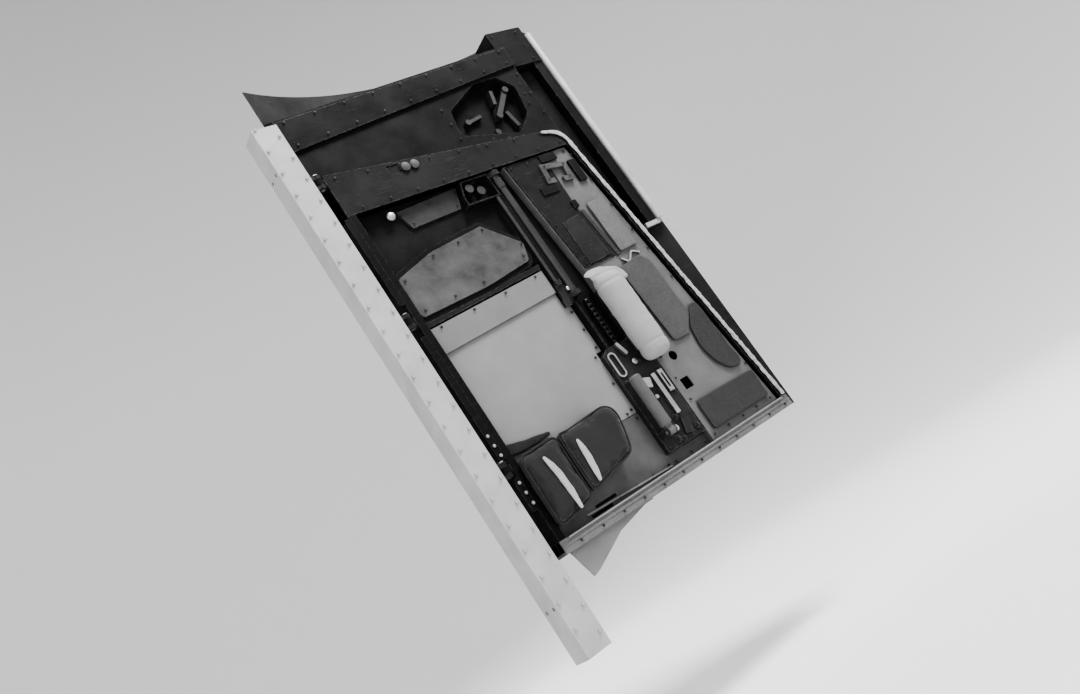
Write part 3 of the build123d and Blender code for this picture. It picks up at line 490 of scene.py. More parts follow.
def cloth(name, tone, threads, strength, spread=0.35, sheen=0.25, stain=0.2):
    """Woven cloth whose threads differ in height and tone."""
    tree, shader = start_finish(name)
    threads_node = use_group(tree, weave, {"Threads per metre": threads})
    use_and_shade = use_group(tree, marks_and_shade, {"Cloud scale": 14.0})
    toned = mix_colour(tree, threads_node.outputs["Tone"],
                       grey(tone * (1 - spread)), grey(tone * (1 + spread)))
    stain_mask = multiply(tree, use_and_shade.outputs["Cloud"], stain)
    stained = mix_colour(tree, stain_mask, toned, grey(tone * 0.55))
    # Painted shade: ambient occlusion darkens the cloth in corners and crevices.
    corner_shade_mask = multiply(tree, use_and_shade.outputs["Corner shade"], 0.5)
    corner_shaded = mix_colour(tree, corner_shade_mask, stained, grey(tone * 0.3))
    tree.links.new(corner_shaded, shader.inputs["Base Color"])
    shader.inputs["Roughness"].default_value = 0.85
    shader.inputs["Sheen Weight"].default_value = sheen
    shader.inputs["Sheen Roughness"].default_value = 0.5
    shader.inputs["Specular IOR Level"].default_value = MATT_GLOSS
    bump_to(tree, shader, threads_node.outputs["Height"], strength, 0.0005)


cloth("pouch_fabric", 0.025, 850.0, 0.6, sheen=0.05)
cloth("strap_pale", 0.38, 620.0, 0.7, spread=0.2, sheen=0.1)
cloth("roll_white", 0.3, 1100.0, 0.4, spread=0.1, sheen=0.15, stain=0.3)
print("cloth finishes added")

# %% [markdown]
# The pads are cut from foam sheet. Its skin is matt with tiny pits, which a fine Voronoi
# texture gives, and shade is painted into its corners. The sealing compound along the rim takes
# the same finish, but pale, with coarse pits and a patchy tone.

# %% Foam and seal


def foam(name, tone, pit_scale=700.0, mottled=0.2, strength=0.5):
    """Closed foam or rubber with pits and a mottled tone."""
    tree, shader = start_finish(name)
    use_and_shade = use_group(tree, marks_and_shade, {"Cloud scale": 20.0})
    where = object_place(tree)
    pits = add(tree, "TexVoronoi", {"Vector": where, "Scale": pit_scale},
               feature="SMOOTH_F1").outputs["Distance"]
    speckle = noise_mask(tree, where, 160.0, 6.0, 0.75)
    spots = stretch(tree, speckle, 0.35, 0.7)
    mottle = mix_colour(tree, spots, grey(tone * (1 - mottled)), grey(tone * (1 + mottled)))
    faded = multiply(tree, use_and_shade.outputs["Cloud"], 0.35)
    clouded = mix_colour(tree, faded, mottle, grey(tone * 1.35))
    # Painted shade: ambient occlusion darkens the foam in corners and crevices.
    corner_shade_mask = multiply(tree, use_and_shade.outputs["Corner shade"], 0.5)
    corner_shaded = mix_colour(tree, corner_shade_mask, clouded, grey(tone * 0.35))
    tree.links.new(corner_shaded, shader.inputs["Base Color"])
    shader.inputs["Roughness"].default_value = 0.78
    shader.inputs["Specular IOR Level"].default_value = MATT_GLOSS
    height = math_node(tree, "ADD", pits, multiply(tree, speckle, 0.8))
    bump_to(tree, shader, height, strength, 0.0006)


foam("pad_dark", 0.036)
foam("pad_light", 0.11)
foam("rim_seal", 0.33, pit_scale=260.0, mottled=0.55, strength=1.0)
print("foam finishes added")

# %% [markdown]
# The window is clear glass. Metallic and Transmission stay plain numbers, so that the
# exported model keeps it as glass.

# %% Glass
_, pane_shader = start_finish("pane")
pane_shader.inputs["Base Color"].default_value = (0.86, 0.89, 0.9, 1)
pane_shader.inputs["Roughness"].default_value = 0.04
pane_shader.inputs["Transmission Weight"].default_value = 0.9
pane_shader.inputs["IOR"].default_value = 1.5
print(len(finishes), "finishes in all")

# %% [markdown]
# The record names a material slot for every CAD piece, and the finishes carry the same
# names, so one loop dresses the whole CAD model. Two pieces are a shade darker than the
# others of their slot and get a paint of their own.

# %% Dress the CAD pieces
paint("latch_box_dark", 0.02, 0.6, wear=0.6)
paint("inset_plate_grey", 0.036, 0.6)
OWN_PAINT = {"latch_box": "latch_box_dark", "inset_plate": "inset_plate_grey"}
for piece in frame["record"]["subparts"]:
    cad_piece = frame["nodes"][piece["node"]]
    finish = OWN_PAINT.get(piece["node"], piece["material_slot"])
    cad_piece.data.materials.clear()
    cad_piece.data.materials.append(finishes[finish])
print(len(frame["nodes"]), "CAD pieces dressed")

# %% [markdown]
# The pieces that follow are built as meshes. Most start from an outline in X and Z, as the
# hatch's sheet parts do. These helpers round an outline's corners, turn it into a plate and
# put the finished mesh on the hatch with its finish.

# %% Helpers for pieces
SHARP_ANGLE = math.radians(38)
ARC_STEPS = 4
CORNER_SHARE = 0.45


def rounded(points, radius):
    """An outline with each corner turned into a short curve."""
    line = []
    for i, point in enumerate(points):
        here = Vector(point)
        ways = (Vector(points[i - 1]) - here, Vector(points[(i + 1) % len(points)]) - here)
        start, end = [here + way.normalized() * min(radius, way.length * CORNER_SHARE)
                      for way in ways]
        for step in range(ARC_STEPS + 1):
            t = step / ARC_STEPS
            line.append(start * (1 - t) ** 2 + here * (2 * t * (1 - t)) + end * t ** 2)
    return line


def add_plate(bm, outline, y_front, y_back):
    """Adds a closed plate of an outline between two depths."""
    front = [bm.verts.new(at(x, y_front, z)) for x, z in outline]
    back = [bm.verts.new(at(x, y_back, z)) for x, z in outline]
    bm.faces.new(front)
    bm.faces.new(back[::-1])
    for i in range(len(outline)):
        j = (i + 1) % len(outline)
        bm.faces.new((front[j], front[i], back[i], back[j]))


def add_disc(bm, centre, direction, profile, sides=12):
    """Adds a turned form: profile gives radius and height pairs along a direction."""
    direction = Vector(direction).normalized()
    turn = direction.to_track_quat("Z", "Y").to_matrix()
    rings = []
    for radius, height in profile:
        spots = [Vector((radius * c, radius * s, height)) for c, s in circle(sides)]
        rings.append([bm.verts.new(at(*(Vector(centre) + turn @ spot))) for spot in spots])
    for low, high in zip(rings, rings[1:]):
        join_rings(bm, low, high)
    bm.faces.new(rings[-1])
    bm.faces.new(rings[0][::-1])


def place(name, shape, finish, body="hatch", stands_for=()):
    """Puts a mesh or bmesh on the hatch, with its finish and the body that it moves with."""
    if isinstance(shape, bmesh.types.BMesh):
        bmesh.ops.recalc_face_normals(shape, faces=shape.faces)
        mesh = bpy.data.meshes.new(name)
        shape.to_mesh(mesh)
        shape.free()
    else:
        mesh = shape
    mesh.shade_smooth()
    mesh.set_sharp_from_angle(angle=SHARP_ANGLE)
    mesh.materials.clear()
    mesh.materials.append(finishes[finish])
    piece = new_object(name, mesh)
    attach(piece, body)
    if stands_for:
        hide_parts(*stands_for)
    return piece


def subdivide(piece):
    """Halves a piece's faces once, which smooths a coarse mesh."""
    finer = piece.modifiers.new("subdivide", "SUBSURF")
    finer.levels = finer.render_levels = 1


print("corner curves have", ARC_STEPS, "steps")

# %% [markdown]
# Soft things have no sharp corner anywhere. A rough solid is melted into one even skin by a
# voxel remesh, then smoothed, which rounds its edges. Noise moves the skin by a millimetre or
# so, so that no face is perfectly flat. Stuffed things are then blown up with air pressure.

# %% Helpers for soft pieces
PUFF_FRAMES = 20
FINE_WAVE = 2.7


def melt(bm, voxel, smoothing, waviness=0.0, wave_scale=30.0):
    """One even, rounded skin over rough solids; the lengths are in millimetres."""
    bmesh.ops.recalc_face_normals(bm, faces=bm.faces)
    mesh = bpy.data.meshes.new("rough")
    bm.to_mesh(mesh)
    bm.free()
    rough = new_object("rough", mesh)
    remesh = rough.modifiers.new("remesh", "REMESH")
    remesh.mode = "VOXEL"
    remesh.voxel_size = voxel * MM
    soften = rough.modifiers.new("soften", "SMOOTH")
    soften.iterations = smoothing
    graph = bpy.context.evaluated_depsgraph_get()
    skin = bpy.data.meshes.new_from_object(rough.evaluated_get(graph))
    bpy.data.objects.remove(rough)
    for vertex in skin.vertices:
        fine = noise.noise(vertex.co * wave_scale * FINE_WAVE)
        push = noise.noise(vertex.co * wave_scale) + 0.5 * fine
        vertex.co += vertex.normal * push * waviness * MM
    return skin


def puff(mesh, pressure, cap, rest_y):
    """Blows a skin up with air pressure, and keeps it off what it lies on."""
    bag = new_object("bag", mesh)
    cloth_sim = bag.modifiers.new("cloth", "CLOTH")
    cloth_sim.settings.use_pressure = True
    cloth_sim.settings.uniform_pressure_force = pressure
    cloth_sim.settings.effector_weights.gravity = 0.0
    cloth_sim.point_cache.frame_start = 1
    cloth_sim.point_cache.frame_end = PUFF_FRAMES
    for step in range(1, PUFF_FRAMES + 1):
        bpy.context.scene.frame_set(step)
    graph = bpy.context.evaluated_depsgraph_get()
    blown = bpy.data.meshes.new_from_object(bag.evaluated_get(graph))
    back = at(0, rest_y, 0).y
    for old, new_vertex in zip(mesh.vertices, blown.vertices):
        move = new_vertex.co - old.co
        move.length = min(move.length, cap * MM)
        new_vertex.co = old.co + move
        new_vertex.co.y = min(new_vertex.co.y, back)
    bpy.data.objects.remove(bag)
    bpy.context.scene.frame_set(1)
    return blown


print("pressure runs for", PUFF_FRAMES, "frames")

# %% [markdown]
# The pads are cut from foam sheet with scissors or a die and glued down. Their edges are a
# little rounded and their outlines not quite straight. The long pad by the roll has faded to a
# lighter grey than the others. The dark crescent by the free edge is a painted shadow, laid where
# the rim's shadow falls, and the thin dark strip lies along a shaded gap beside the light pad.

# %% Foam pads
PANEL_FRONT_Y = 10.0
GLUE_GAP = 0.3
FOAM_PADS = (
    # name, CAD node, finish, thickness, corner radius, outline in X and Z
    ("strip_foam", "strip_pad", "pad_dark", 5.0, 7.0,
     ((560, 482), (640, 494), (660, 470), (664, 312), (624, 266), (574, 268))),
    # Painted shadow: a dark foam crescent laid where the rim's shadow falls.
    ("crescent_shadow_foam", "crescent_pad", "pad_dark", 5.0, 14.0,
     ((680, 330), (704, 328), (708, 244), (707, 191), (716, 158), (702, 141), (668, 149),
      (644, 178), (631, 225), (640, 280))),
    ("square_foam", "square_pad", "pad_dark", 5.0, 6.0,
     ((520, 124), (722, 120), (720, 48), (520, 48))),
    ("light_foam", "light_pad", "pad_light", 5.0, 6.0,
     ((597, 664), (652, 668), (660, 521), (600, 519))),
    # A thin dark foam strip, laid along the shaded gap beside the light pad.
    ("dark_strip_foam", "hold_strap", "pad_dark", 4.0, 4.0,
     ((568, 654), (581, 654), (597, 512), (584, 512))),
)
back_y = PANEL_FRONT_Y - GLUE_GAP
for name, node, finish, thickness, corner_radius, outline in FOAM_PADS:
    bm = bmesh.new()
    add_plate(bm, rounded(outline, corner_radius), back_y - thickness, back_y)
    pad = place(name, melt(bm, 2.0, 3, waviness=0.5), finish, stands_for=(node,))
    if name == "strip_foam":
        foam("strip_foam_grey", 0.066)
        pad.data.materials[0] = finishes["strip_foam_grey"]
print(len(FOAM_PADS), "foam pads")

# %% [markdown]
# The padded roll is a cloth tube stuffed with foam. It is wider than it is deep, its aft end
# tapers, and a wide flap closes its nose end. Air pressure gives the cloth its tension, and
# the seams that pinch it are pulled in afterwards.

# %% Padded roll
ROLL_X = 490.0
ROLL_BACK_Y = 9.4
ROLL_HALF_DEPTH = 29.5
ROLL_AXIS_Y = ROLL_BACK_Y - ROLL_HALF_DEPTH * 0.9
FLAT_BACK = -0.86
ROLL_SECTIONS = (
    # Z, half width, half depth
    (250, 22, 14), (254, 32, 22), (264, 38, 27), (300, 40, 29),
    (380, 40, ROLL_HALF_DEPTH), (440, 40, 29), (462, 39, 26),
    (474, 37, 18), (480, 33, 10),
)
ROLL_SIDES = 28
bm = bmesh.new()
sections = []
for z, half_width, half_depth in ROLL_SECTIONS:
    ring = []
    for c, s in circle(ROLL_SIDES):
        depth = max(-s, FLAT_BACK) * half_depth
        ring.append(bm.verts.new(at(ROLL_X + half_width * c, ROLL_AXIS_Y - depth, z)))
    sections.append(ring)
for low, high in zip(sections, sections[1:]):
    join_rings(bm, low, high)
bm.faces.new(sections[0])
bm.faces.new(sections[-1][::-1])
roll_skin = puff(melt(bm, 4.0, 4), 4.0, 4.0, ROLL_BACK_Y)
SEAM_WIDTH = 3.0
SEAM_DEPTH = 2.2
WRINKLE_HEIGHT = 1.3
ROLL_SEAMS = (284.0, 452.0)
for vertex in roll_skin.vertices:
    z = (vertex.co.z - hinge_axis.z) / MM
    pinch = sum(math.exp(-((z - seam) / SEAM_WIDTH) ** 2) for seam in ROLL_SEAMS)
    wrinkle = noise.noise(Vector((vertex.co.x * 16, vertex.co.y * 16, vertex.co.z * 55)))
    push = wrinkle * WRINKLE_HEIGHT - SEAM_DEPTH * pinch
    vertex.co += vertex.normal * push * MM
    vertex.co.y = min(vertex.co.y, at(0, ROLL_BACK_Y, 0).y)
padded_tube = place("roll_cover", roll_skin, "roll_white", stands_for=("padded_roll",))
subdivide(padded_tube)
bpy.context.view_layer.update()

# %% [markdown]
# The flap is a flat piece of the same cloth. It hangs down on both sides of the roll, its nose
# end is tucked toward the panel, and its aft edge lifts over the tube.

# %% Roll flap
FLAP_OUTLINE = ((453, 498), (473, 507), (534, 504), (552, 473), (549, 446), (500, 452), (456, 464))
FLAP_CURL = 0.011
FLAP_CURL_LIMIT = 16.0
FLAP_TUCK_Z = 486.0
FLAP_TUCK = 1.25
FLAP_LIFT_Z = 450.0
FLAP_LIFT = 10.0
FLAP_LIFT_WIDTH = 22.0
bm = bmesh.new()
add_plate(bm, rounded(FLAP_OUTLINE, 8.0), -26.0, -22.0)
flap_skin = melt(bm, 2.0, 4, waviness=1.0, wave_scale=40.0)
for vertex in flap_skin.vertices:
    x = (vertex.co.x - hinge_axis.x) / MM - ROLL_X
    z = (vertex.co.z - hinge_axis.z) / MM
    curl = min(FLAP_CURL * x * x, FLAP_CURL_LIMIT)
    tuck = max(0.0, z - FLAP_TUCK_Z) * FLAP_TUCK
    lift = FLAP_LIFT * math.exp(-((z - FLAP_LIFT_Z) / FLAP_LIFT_WIDTH) ** 2)
    vertex.co.y += (curl + tuck - lift) * MM
roll_flap = place("roll_flap", flap_skin, "roll_white")
print("flap has", len(flap_skin.vertices), "vertices")

# %% [markdown]
# Two stowage pouches hang in the aft corner, by the hinge. Each is a sewn cloth box filled
# with small gear, so its front swells and its edges stay tight where the binding tape runs.
# The left one's back is narrower than its front, because the frame's hinge side is there.

# %% Pouches
POUCH_BACK_Y = 23.3
POUCH_FRONT_Y = -20.0
POUCH_STEP_Y = -1.0
LONGERON_FREE_X = 34.6
LONGERON_TOP_Y = -3.0
CREASE_HEIGHT = 1.8
LEFT_POUCH = ((28, 47), (128, 66), (130, 212), (29, 207))
LEFT_POUCH_BACK = ((37, 50), (128, 66), (130, 212), (37, 207))
RIGHT_POUCH = ((135, 73), (172, 82), (252, 96), (274, 103), (286, 138), (297, 183), (291, 206),
               (272, 217), (159, 208), (135, 211))


def inset(outline, distance):
    """An outline drawn closer to its own middle."""
    points = [Vector(point) for point in outline]
    middle = sum(points, Vector((0, 0))) / len(points)
    return [point + (middle - point).normalized() * distance for point in points]


bags = {}
for name, node, outline, back_outline in (
        ("pouch_bag_left", "pouch_left", LEFT_POUCH, LEFT_POUCH_BACK),
        ("pouch_bag_right", "pouch_right", RIGHT_POUCH, RIGHT_POUCH)):
    bm = bmesh.new()
    add_plate(bm, rounded(outline, 12.0), POUCH_FRONT_Y, POUCH_STEP_Y)
    add_plate(bm, rounded(inset(back_outline, 1.0), 10.0), POUCH_STEP_Y - 0.2, POUCH_BACK_Y)
    skin = puff(melt(bm, 4.0, 5, waviness=1.2, wave_scale=22.0), 4.0, 5.0, POUCH_BACK_Y)
    for vertex in skin.vertices:
        x, y, z = (vertex.co - hinge_axis) / MM
        crease = noise.noise(Vector((x * 0.035, y * 0.03, z * 0.012)))
        vertex.co += vertex.normal * crease * CREASE_HEIGHT * MM
        if y > LONGERON_TOP_Y and node == "pouch_left":
            vertex.co.x = max(vertex.co.x, at(LONGERON_FREE_X, 0, 0).x)
        vertex.co.y = min(vertex.co.y, at(0, POUCH_BACK_Y, 0).y)
    bag = place(name, skin, "pouch_fabric", stands_for=(node,))
    subdivide(bag)
    bags[name] = bag
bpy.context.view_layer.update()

# %% [markdown]
# Tape is sewn over the front seam of each pouch, and a stiffened lid is folded back flat
# against the panel behind them.

# %% Pouch binding and lid
TAPE_RADIUS = 2.0
TAPE_SIDES = 6
LID_LINE = ((38, 222), (60, 219), (112, 219), (150, 222), (150, 230), (96, 237), (38, 249))
LID_FRONT_Y = 18.5


def square_to(before, after):
    """The direction square to a line between two places, on the hatch's face."""
    ahead = (Vector(after) - Vector(before)).normalized()
    return Vector((ahead.y, 0, -ahead.x))


def binding(bm, outline, y, radius):
    """Adds a round tape that runs along a closed outline at one depth."""
    rings = []
    for i, (x, z) in enumerate(outline):
        out = square_to(outline[i - 1], outline[(i + 1) % len(outline)])
        ring = []
        for c, s in circle(TAPE_SIDES):
            spot = Vector((x, y, z)) + out * radius * c + Vector((0, radius * s, 0))
            ring.append(bm.verts.new(at(*spot)))
        rings.append(ring)
    for low, high in zip(rings, rings[1:] + rings[:1]):
        join_rings(bm, low, high)


def spread_evenly(outline, spacing):
    """The same closed outline with points at an even spacing."""
    line = []
    for i, point in enumerate(outline):
        here, ahead = Vector(point), Vector(outline[(i + 1) % len(outline)])
        steps = max(1, round((ahead - here).length / spacing))
        line += [here.lerp(ahead, step / steps) for step in range(steps)]
    return line


bm = bmesh.new()
for outline in (LEFT_POUCH, RIGHT_POUCH):
    seam_line = spread_evenly(rounded(inset(outline, 1.5), 14.0), 4.0)
    binding(bm, seam_line, POUCH_FRONT_Y + 2.5, TAPE_RADIUS)
place("pouch_binding", bm, "pouch_fabric")
bm = bmesh.new()
add_plate(bm, rounded(LID_LINE, 4.0), LID_FRONT_Y, POUCH_BACK_Y)
lid_skin = melt(bm, 1.6, 3, waviness=1.2, wave_scale=40.0)
lid = place("pouch_lid", lid_skin, "pouch_fabric", stands_for=("pouch_flap",))
print("lid has", len(lid_skin.vertices), "vertices")

# %% [markdown]
# Each pouch is held shut by a pale strap, folded double and sewn at its ends, so it is thick
# and round-edged. Its line bows a little, as webbing does when a hand has pulled it.

# %% Pouch straps
STRAP_LINES = (
    ((72, 184), (79, 160), (83, 138), (85, 96), (84, 58)),
    ((164, 181), (165, 158), (164, 136), (161, 108), (157, 84)),
)
STRAP_HALF_WIDTHS = (3.4, 7.2, 8.0, 7.4, 3.6)
STRAP_BACK_Y = -25.5
STRAP_THICKNESS = 4.0
bm = bmesh.new()
for line in STRAP_LINES:
    left_side, right_side = [], []
    for i, (point, half) in enumerate(zip(line, STRAP_HALF_WIDTHS)):
        side = square_to(line[max(i - 1, 0)], line[min(i + 1, len(line) - 1)]).xz * half
        left_side.append(Vector(point) - side)
        right_side.append(Vector(point) + side)
    strap_line = rounded(left_side + right_side[::-1], 5.0)
    add_plate(bm, strap_line, STRAP_BACK_Y - STRAP_THICKNESS, STRAP_BACK_Y)
strap_skin = melt(bm, 1.3, 5, waviness=0.4, wave_scale=60.0)
straps = place("pouch_webbing", strap_skin, "strap_pale", stands_for=("pouch_straps",))
print("straps are", 2 * max(STRAP_HALF_WIDTHS), "mm wide")

# %% [markdown]
# Sewn goods show their stitches. Each thread is a short thin rod, laid where a ray from the
# cabin meets the cloth, so the rows follow every swell. The rows run inside the binding of
# the pouches, along both edges of the straps, and across the padded roll at its two seams.

# %% Stitches
STITCH_PITCH = 4.6
STITCH_PROFILE = ((0.25, -1.5), (0.55, -1.1), (0.55, 1.1), (0.25, 1.5))
STITCH_SINK = 0.15
STRAP_ROW_SHIFT = 4.4
ROLL_ROW_HALF = 34.0
RAY_START_Y = -90.0
INWARD = Vector((0, 1, 0))


def surface_of(piece):
    """A piece's faces as a tree that rays can hit."""
    mesh = piece.data
    return BVHTree.FromPolygons([v.co for v in mesh.vertices],
                                [tuple(face.vertices) for face in mesh.polygons])


def add_stitches(bm, cloth_piece, line, closed=True):
    """Lays threads along a line in X and Z, on the front of a soft piece."""
    skin = surface_of(cloth_piece)
    spots = spread_evenly(line, STITCH_PITCH)
    if not closed:
        spots = spots[:round(len(spots) / 2)]
    for spot, ahead in zip(spots, spots[1:]):
        hit = skin.ray_cast(at(spot[0], RAY_START_Y, spot[1]), INWARD)[0]
        next_hit = skin.ray_cast(at(ahead[0], RAY_START_Y, ahead[1]), INWARD)[0]
        if hit and next_hit and (next_hit - hit).length < 3 * STITCH_PITCH * MM:
            middle = ((hit + next_hit) / 2 - hinge_axis) / MM
            add_disc(bm, middle - INWARD * STITCH_SINK, next_hit - hit, STITCH_PROFILE, sides=5)


bm = bmesh.new()
add_stitches(bm, bags["pouch_bag_left"], rounded(inset(LEFT_POUCH, 9.0), 12.0))
add_stitches(bm, bags["pouch_bag_right"], rounded(inset(RIGHT_POUCH, 9.0), 12.0))
place("pouch_stitches", bm, "pad_light")
bm = bmesh.new()
for line in STRAP_LINES:
    for shift in (-STRAP_ROW_SHIFT, STRAP_ROW_SHIFT):
        shifted = [(x + shift, z) for x, z in line[1:-1]]
        add_stitches(bm, straps, shifted + shifted[::-1], closed=False)
for seam in ROLL_SEAMS:
    across = [(ROLL_X - ROLL_ROW_HALF, seam), (ROLL_X + ROLL_ROW_HALF, seam)]
    add_stitches(bm, padded_tube, across + across[::-1], closed=False)
place("pale_stitches", bm, "strap_pale")
print("one stitch every", STITCH_PITCH, "mm")

# %% [markdown]
# A pale sealing compound was run along the free edge of the frame, thick and rough like
# caulking, and it turns the nose corner of the frame. It is a rounded bead whose width and
# height wander in long waves, with a small random step at every section.

# %% Rim seal
FREE_EDGE_X = 765
FREE_EDGE_LEAN = 97
FREE_EDGE_LENGTH = 875
SEAL_INSET = 7.5
SEAL_CORNER = [(660, 852), (650, 863), (636, 870), (620, 874), (602, 877)]
SEAL_SIDES = 8
seal_line = [(FREE_EDGE_X - FREE_EDGE_LEAN * z / FREE_EDGE_LENGTH - SEAL_INSET, z)
             for z in range(30, 842, 4)] + SEAL_CORNER
random.seed(23)
bm = bmesh.new()
rings = []
for i, (x, z) in enumerate(seal_line):
    out = square_to(seal_line[max(i - 1, 0)], seal_line[min(i + 1, len(seal_line) - 1)])
    wide = 6.2 + 2.2 * noise.noise(Vector((z * 0.06, 3.0, 0.0))) + random.uniform(-1.0, 1.0)
    tall = 3.2 + 1.6 * noise.noise(Vector((z * 0.09, 9.0, 0.0))) + random.uniform(-0.9, 0.9)
    ring = []
    for side in range(SEAL_SIDES + 1):
        angle = math.pi * side / SEAL_SIDES
        rough = 1.0 + random.uniform(-0.2, 0.2)
        lift = Vector((0, tall * math.sin(angle) * rough, 0))
        spot = Vector((x, -0.1, z)) + out * wide * math.cos(angle) * rough - lift
        ring.append(bm.verts.new(at(*spot)))
    rings.append(ring)
for low, high in zip(rings, rings[1:]):
    join_rings(bm, low, high)
bm.faces.new(rings[0])
bm.faces.new(rings[-1][::-1])
seal = place("rim_compound", bm, "rim_seal", stands_for=("free_edge_rim",))
subdivide(seal)
print("seal has", len(seal_line), "sections")

# %% [markdown]
# Sheet parts are held by rows of small pan-head screws. One function turns a head with a
# domed top and a cross recess, and tables give the rows: from one place to another, with a
# count. Each row is set in a little from the edge of the plate it holds.

# %% Screws
SCREW_ROWS = (
    # depth of the face, radius, first place, last place, count
    (24, 3, (44, 262), (44, 524), 6), (24, 3, (366, 182), (366, 322), 3),
    (24, 3, (384, 342), (384, 440), 3), (18, 3, (70, 529), (350, 548), 4),
    (24, 3, (50, 178), (350, 178), 4), (24, 2.6, (210, 38), (366, 38), 4),
    (24, 2.6, (300, 160), (366, 160), 2), (24, 2.6, (390, 36), (490, 36), 3),
    (12, 3, (56, 574), (220, 582), 3), (12, 3, (352, 604), (366, 632), 2),
    (12, 3, (148, 682), (296, 698), 3), (12, 3, (54, 652), (54, 652), 1),
    (24, 2.4, (146, 802), (302, 812), 3), (24, 2.4, (162, 774), (286, 779), 2),
    (10, 2.8, (514, 40), (722, 40), 5), (10, 2.8, (514, 134), (514, 250), 3),
    (10, 2.8, (722, 140), (682, 500), 5), (10, 2.8, (676, 560), (654, 800), 4),
    (10, 2.8, (600, 816), (640, 816), 2), (6, 2.6, (464, 814), (566, 814), 3),
    (6, 2.6, (490, 526), (568, 526), 2), (6, 2.6, (478, 640), (482, 560), 2),
    (4, 2, (507, 632), (552, 637), 2), (4, 2, (507, 528), (560, 531), 2),
    (0, 2.6, (60, 838), (640, 838), 9), (0, 2.6, (40, 922), (600, 876), 8),
    (0, 2.8, (60, 8), (740, 8), 12), (60, 3, (40, 950), (400, 926), 5),
    (60, 3, (714, 900), (714, 1090), 4), (0, 2.4, (550, 789), (606, 780), 2),
    (0, 2.4, (541, 754), (602, 746), 2), (52, 2.7, (40, 1054), (700, 1126), 9),
    (52, 2.7, (40, 1118), (700, 1164), 9), (60, 2.6, (436, 958), (436, 1046), 3),
    (60, 2.6, (520, 930), (610, 916), 3), (60, 2.6, (690, 1000), (702, 1060), 3),
    (84, 2.6, (811, 620), (811, 1110), 6), (80, 2.6, (738, 1140), (738, 1230), 3),
    (80, 2.6, (820, 1140), (820, 1230), 3), (10, 2.4, (384, 66), (490, 66), 3),
    (10, 2.4, (490, 110), (490, 282), 4), (10, 2.4, (384, 120), (384, 230), 3),
)
SINK = 0.2
TO_CABIN = (0, -1, 0)


def add_head(bm, x, y, z, profile, sides=12):
    """Adds a turned head that faces the cabin, sunk a little into its seat."""
    add_disc(bm, (x, y + SINK, z), TO_CABIN, profile, sides=sides)


def add_screw(heads, recesses, x, y, z, radius, turn):
    """Adds a pan-head screw that faces the cabin, and the dark cross on its top."""
    height = radius * 0.55
    add_head(heads, x, y, z, ((radius, 0), (radius, height * 0.5),
                              (radius * 0.82, height), (radius * 0.3, height * 1.12)))
    arm = radius * 0.55
    half = radius * 0.12
    for side in (0.0, math.pi / 2):
        c, s = math.cos(turn + side), math.sin(turn + side)
        corners = [(x + a * arm * c - b * half * s, z + a * arm * s + b * half * c)
                   for a, b in ((1, 1), (-1, 1), (-1, -1), (1, -1))]
        add_plate(recesses, corners, y + SINK - height * 1.2, y - height * 0.9)


random.seed(5)
screw_bm, recess_bm = bmesh.new(), bmesh.new()
screw_count = 0
for depth, radius, first, last, count in SCREW_ROWS:
    for i in range(count):
        x, z = Vector(first).lerp(Vector(last), i / max(1, count - 1))
        add_screw(screw_bm, recess_bm, x, depth, z, radius, random.uniform(0, math.pi))
        screw_count += 1
place("panel_screws", screw_bm, "rod_dark")
place("screw_recesses", recess_bm, "structure_dark")
print(screw_count, "screws")

# %% [markdown]
# The latch drive carries the brightest small parts: bare steel studs, a slug and a square
# pawl that show against the dark box. They are turned or cut from bar, so they keep crisp
# edges with a small bevel. The studs on the hinge flange are bright too. Their row skips the
# knuckle, where a stud would strike the sill beam as the hatch shuts.

# %% Bright studs
BRIGHT_STUDS = (
    # X, face depth, Z, profile of radius and height; the last is the round knob
    (440, 10, 271, ((7, 0), (7, 4), (5.6, 5.6), (2, 6.2))),
    (435, 10, 177, ((5, 0), (5, 3), (4, 4.2), (1.5, 4.6))),
    (428, 10, 96, ((7, 0), (7, 4.5), (5.6, 6), (2, 6.4))),
    (404, 11.7, 490, ((6, 0), (6, 3), (4.6, 4.4), (1.6, 4.8))),
    (117, 30, 804, ((5, 0), (5, 7), (9, 8), (10.5, 12), (8, 16), (3, 17.5))),
)
HINGE_STUDS = (
    # X, face depth, Z
    (7, -1, 277), (8, -1, 254), (9, -1, 231), (10, -1, 166), (11, -1, 143), (12, -1, 119),
)
HINGE_STUD = ((3.9, 0), (3.9, 1.6), (3.1, 2.8), (1.0, 3.2))
SLUG_LINE = ((416, 325), (424, 328), (436, 295), (428, 291))
PAWL_CORNERS = ((422, 229), (444, 222), (437, 199), (416, 206))
SHARP_FOLD = 1.2
bm = bmesh.new()
for x, y, z, profile in BRIGHT_STUDS:
    add_head(bm, x, y, z, profile, sides=20)
for x, y, z in HINGE_STUDS:
    add_head(bm, x, y, z, HINGE_STUD, sides=16)
add_plate(bm, rounded(SLUG_LINE, 5.0), 3.0, 10.2)
add_plate(bm, rounded(PAWL_CORNERS, 2.0), 1.5, 10.2)
sharp = [edge for edge in bm.edges
         if edge.calc_length() > 2 * MM and edge.calc_face_angle(0) > SHARP_FOLD]
bmesh.ops.bevel(bm, geom=sharp, offset=0.6 * MM, segments=1, affect="EDGES")
place("latch_studs", bm, "steel_bright")
print(len(BRIGHT_STUDS) + len(HINGE_STUDS), "bright studs")

# %% [markdown]
# The latch box is held together by dark nuts. Each is a thin washer, a hexagon and the end of
# its bolt, one on top of the other. The flange that carries the hinge studs is a thin black
# strip in three lengths, between the knuckles.

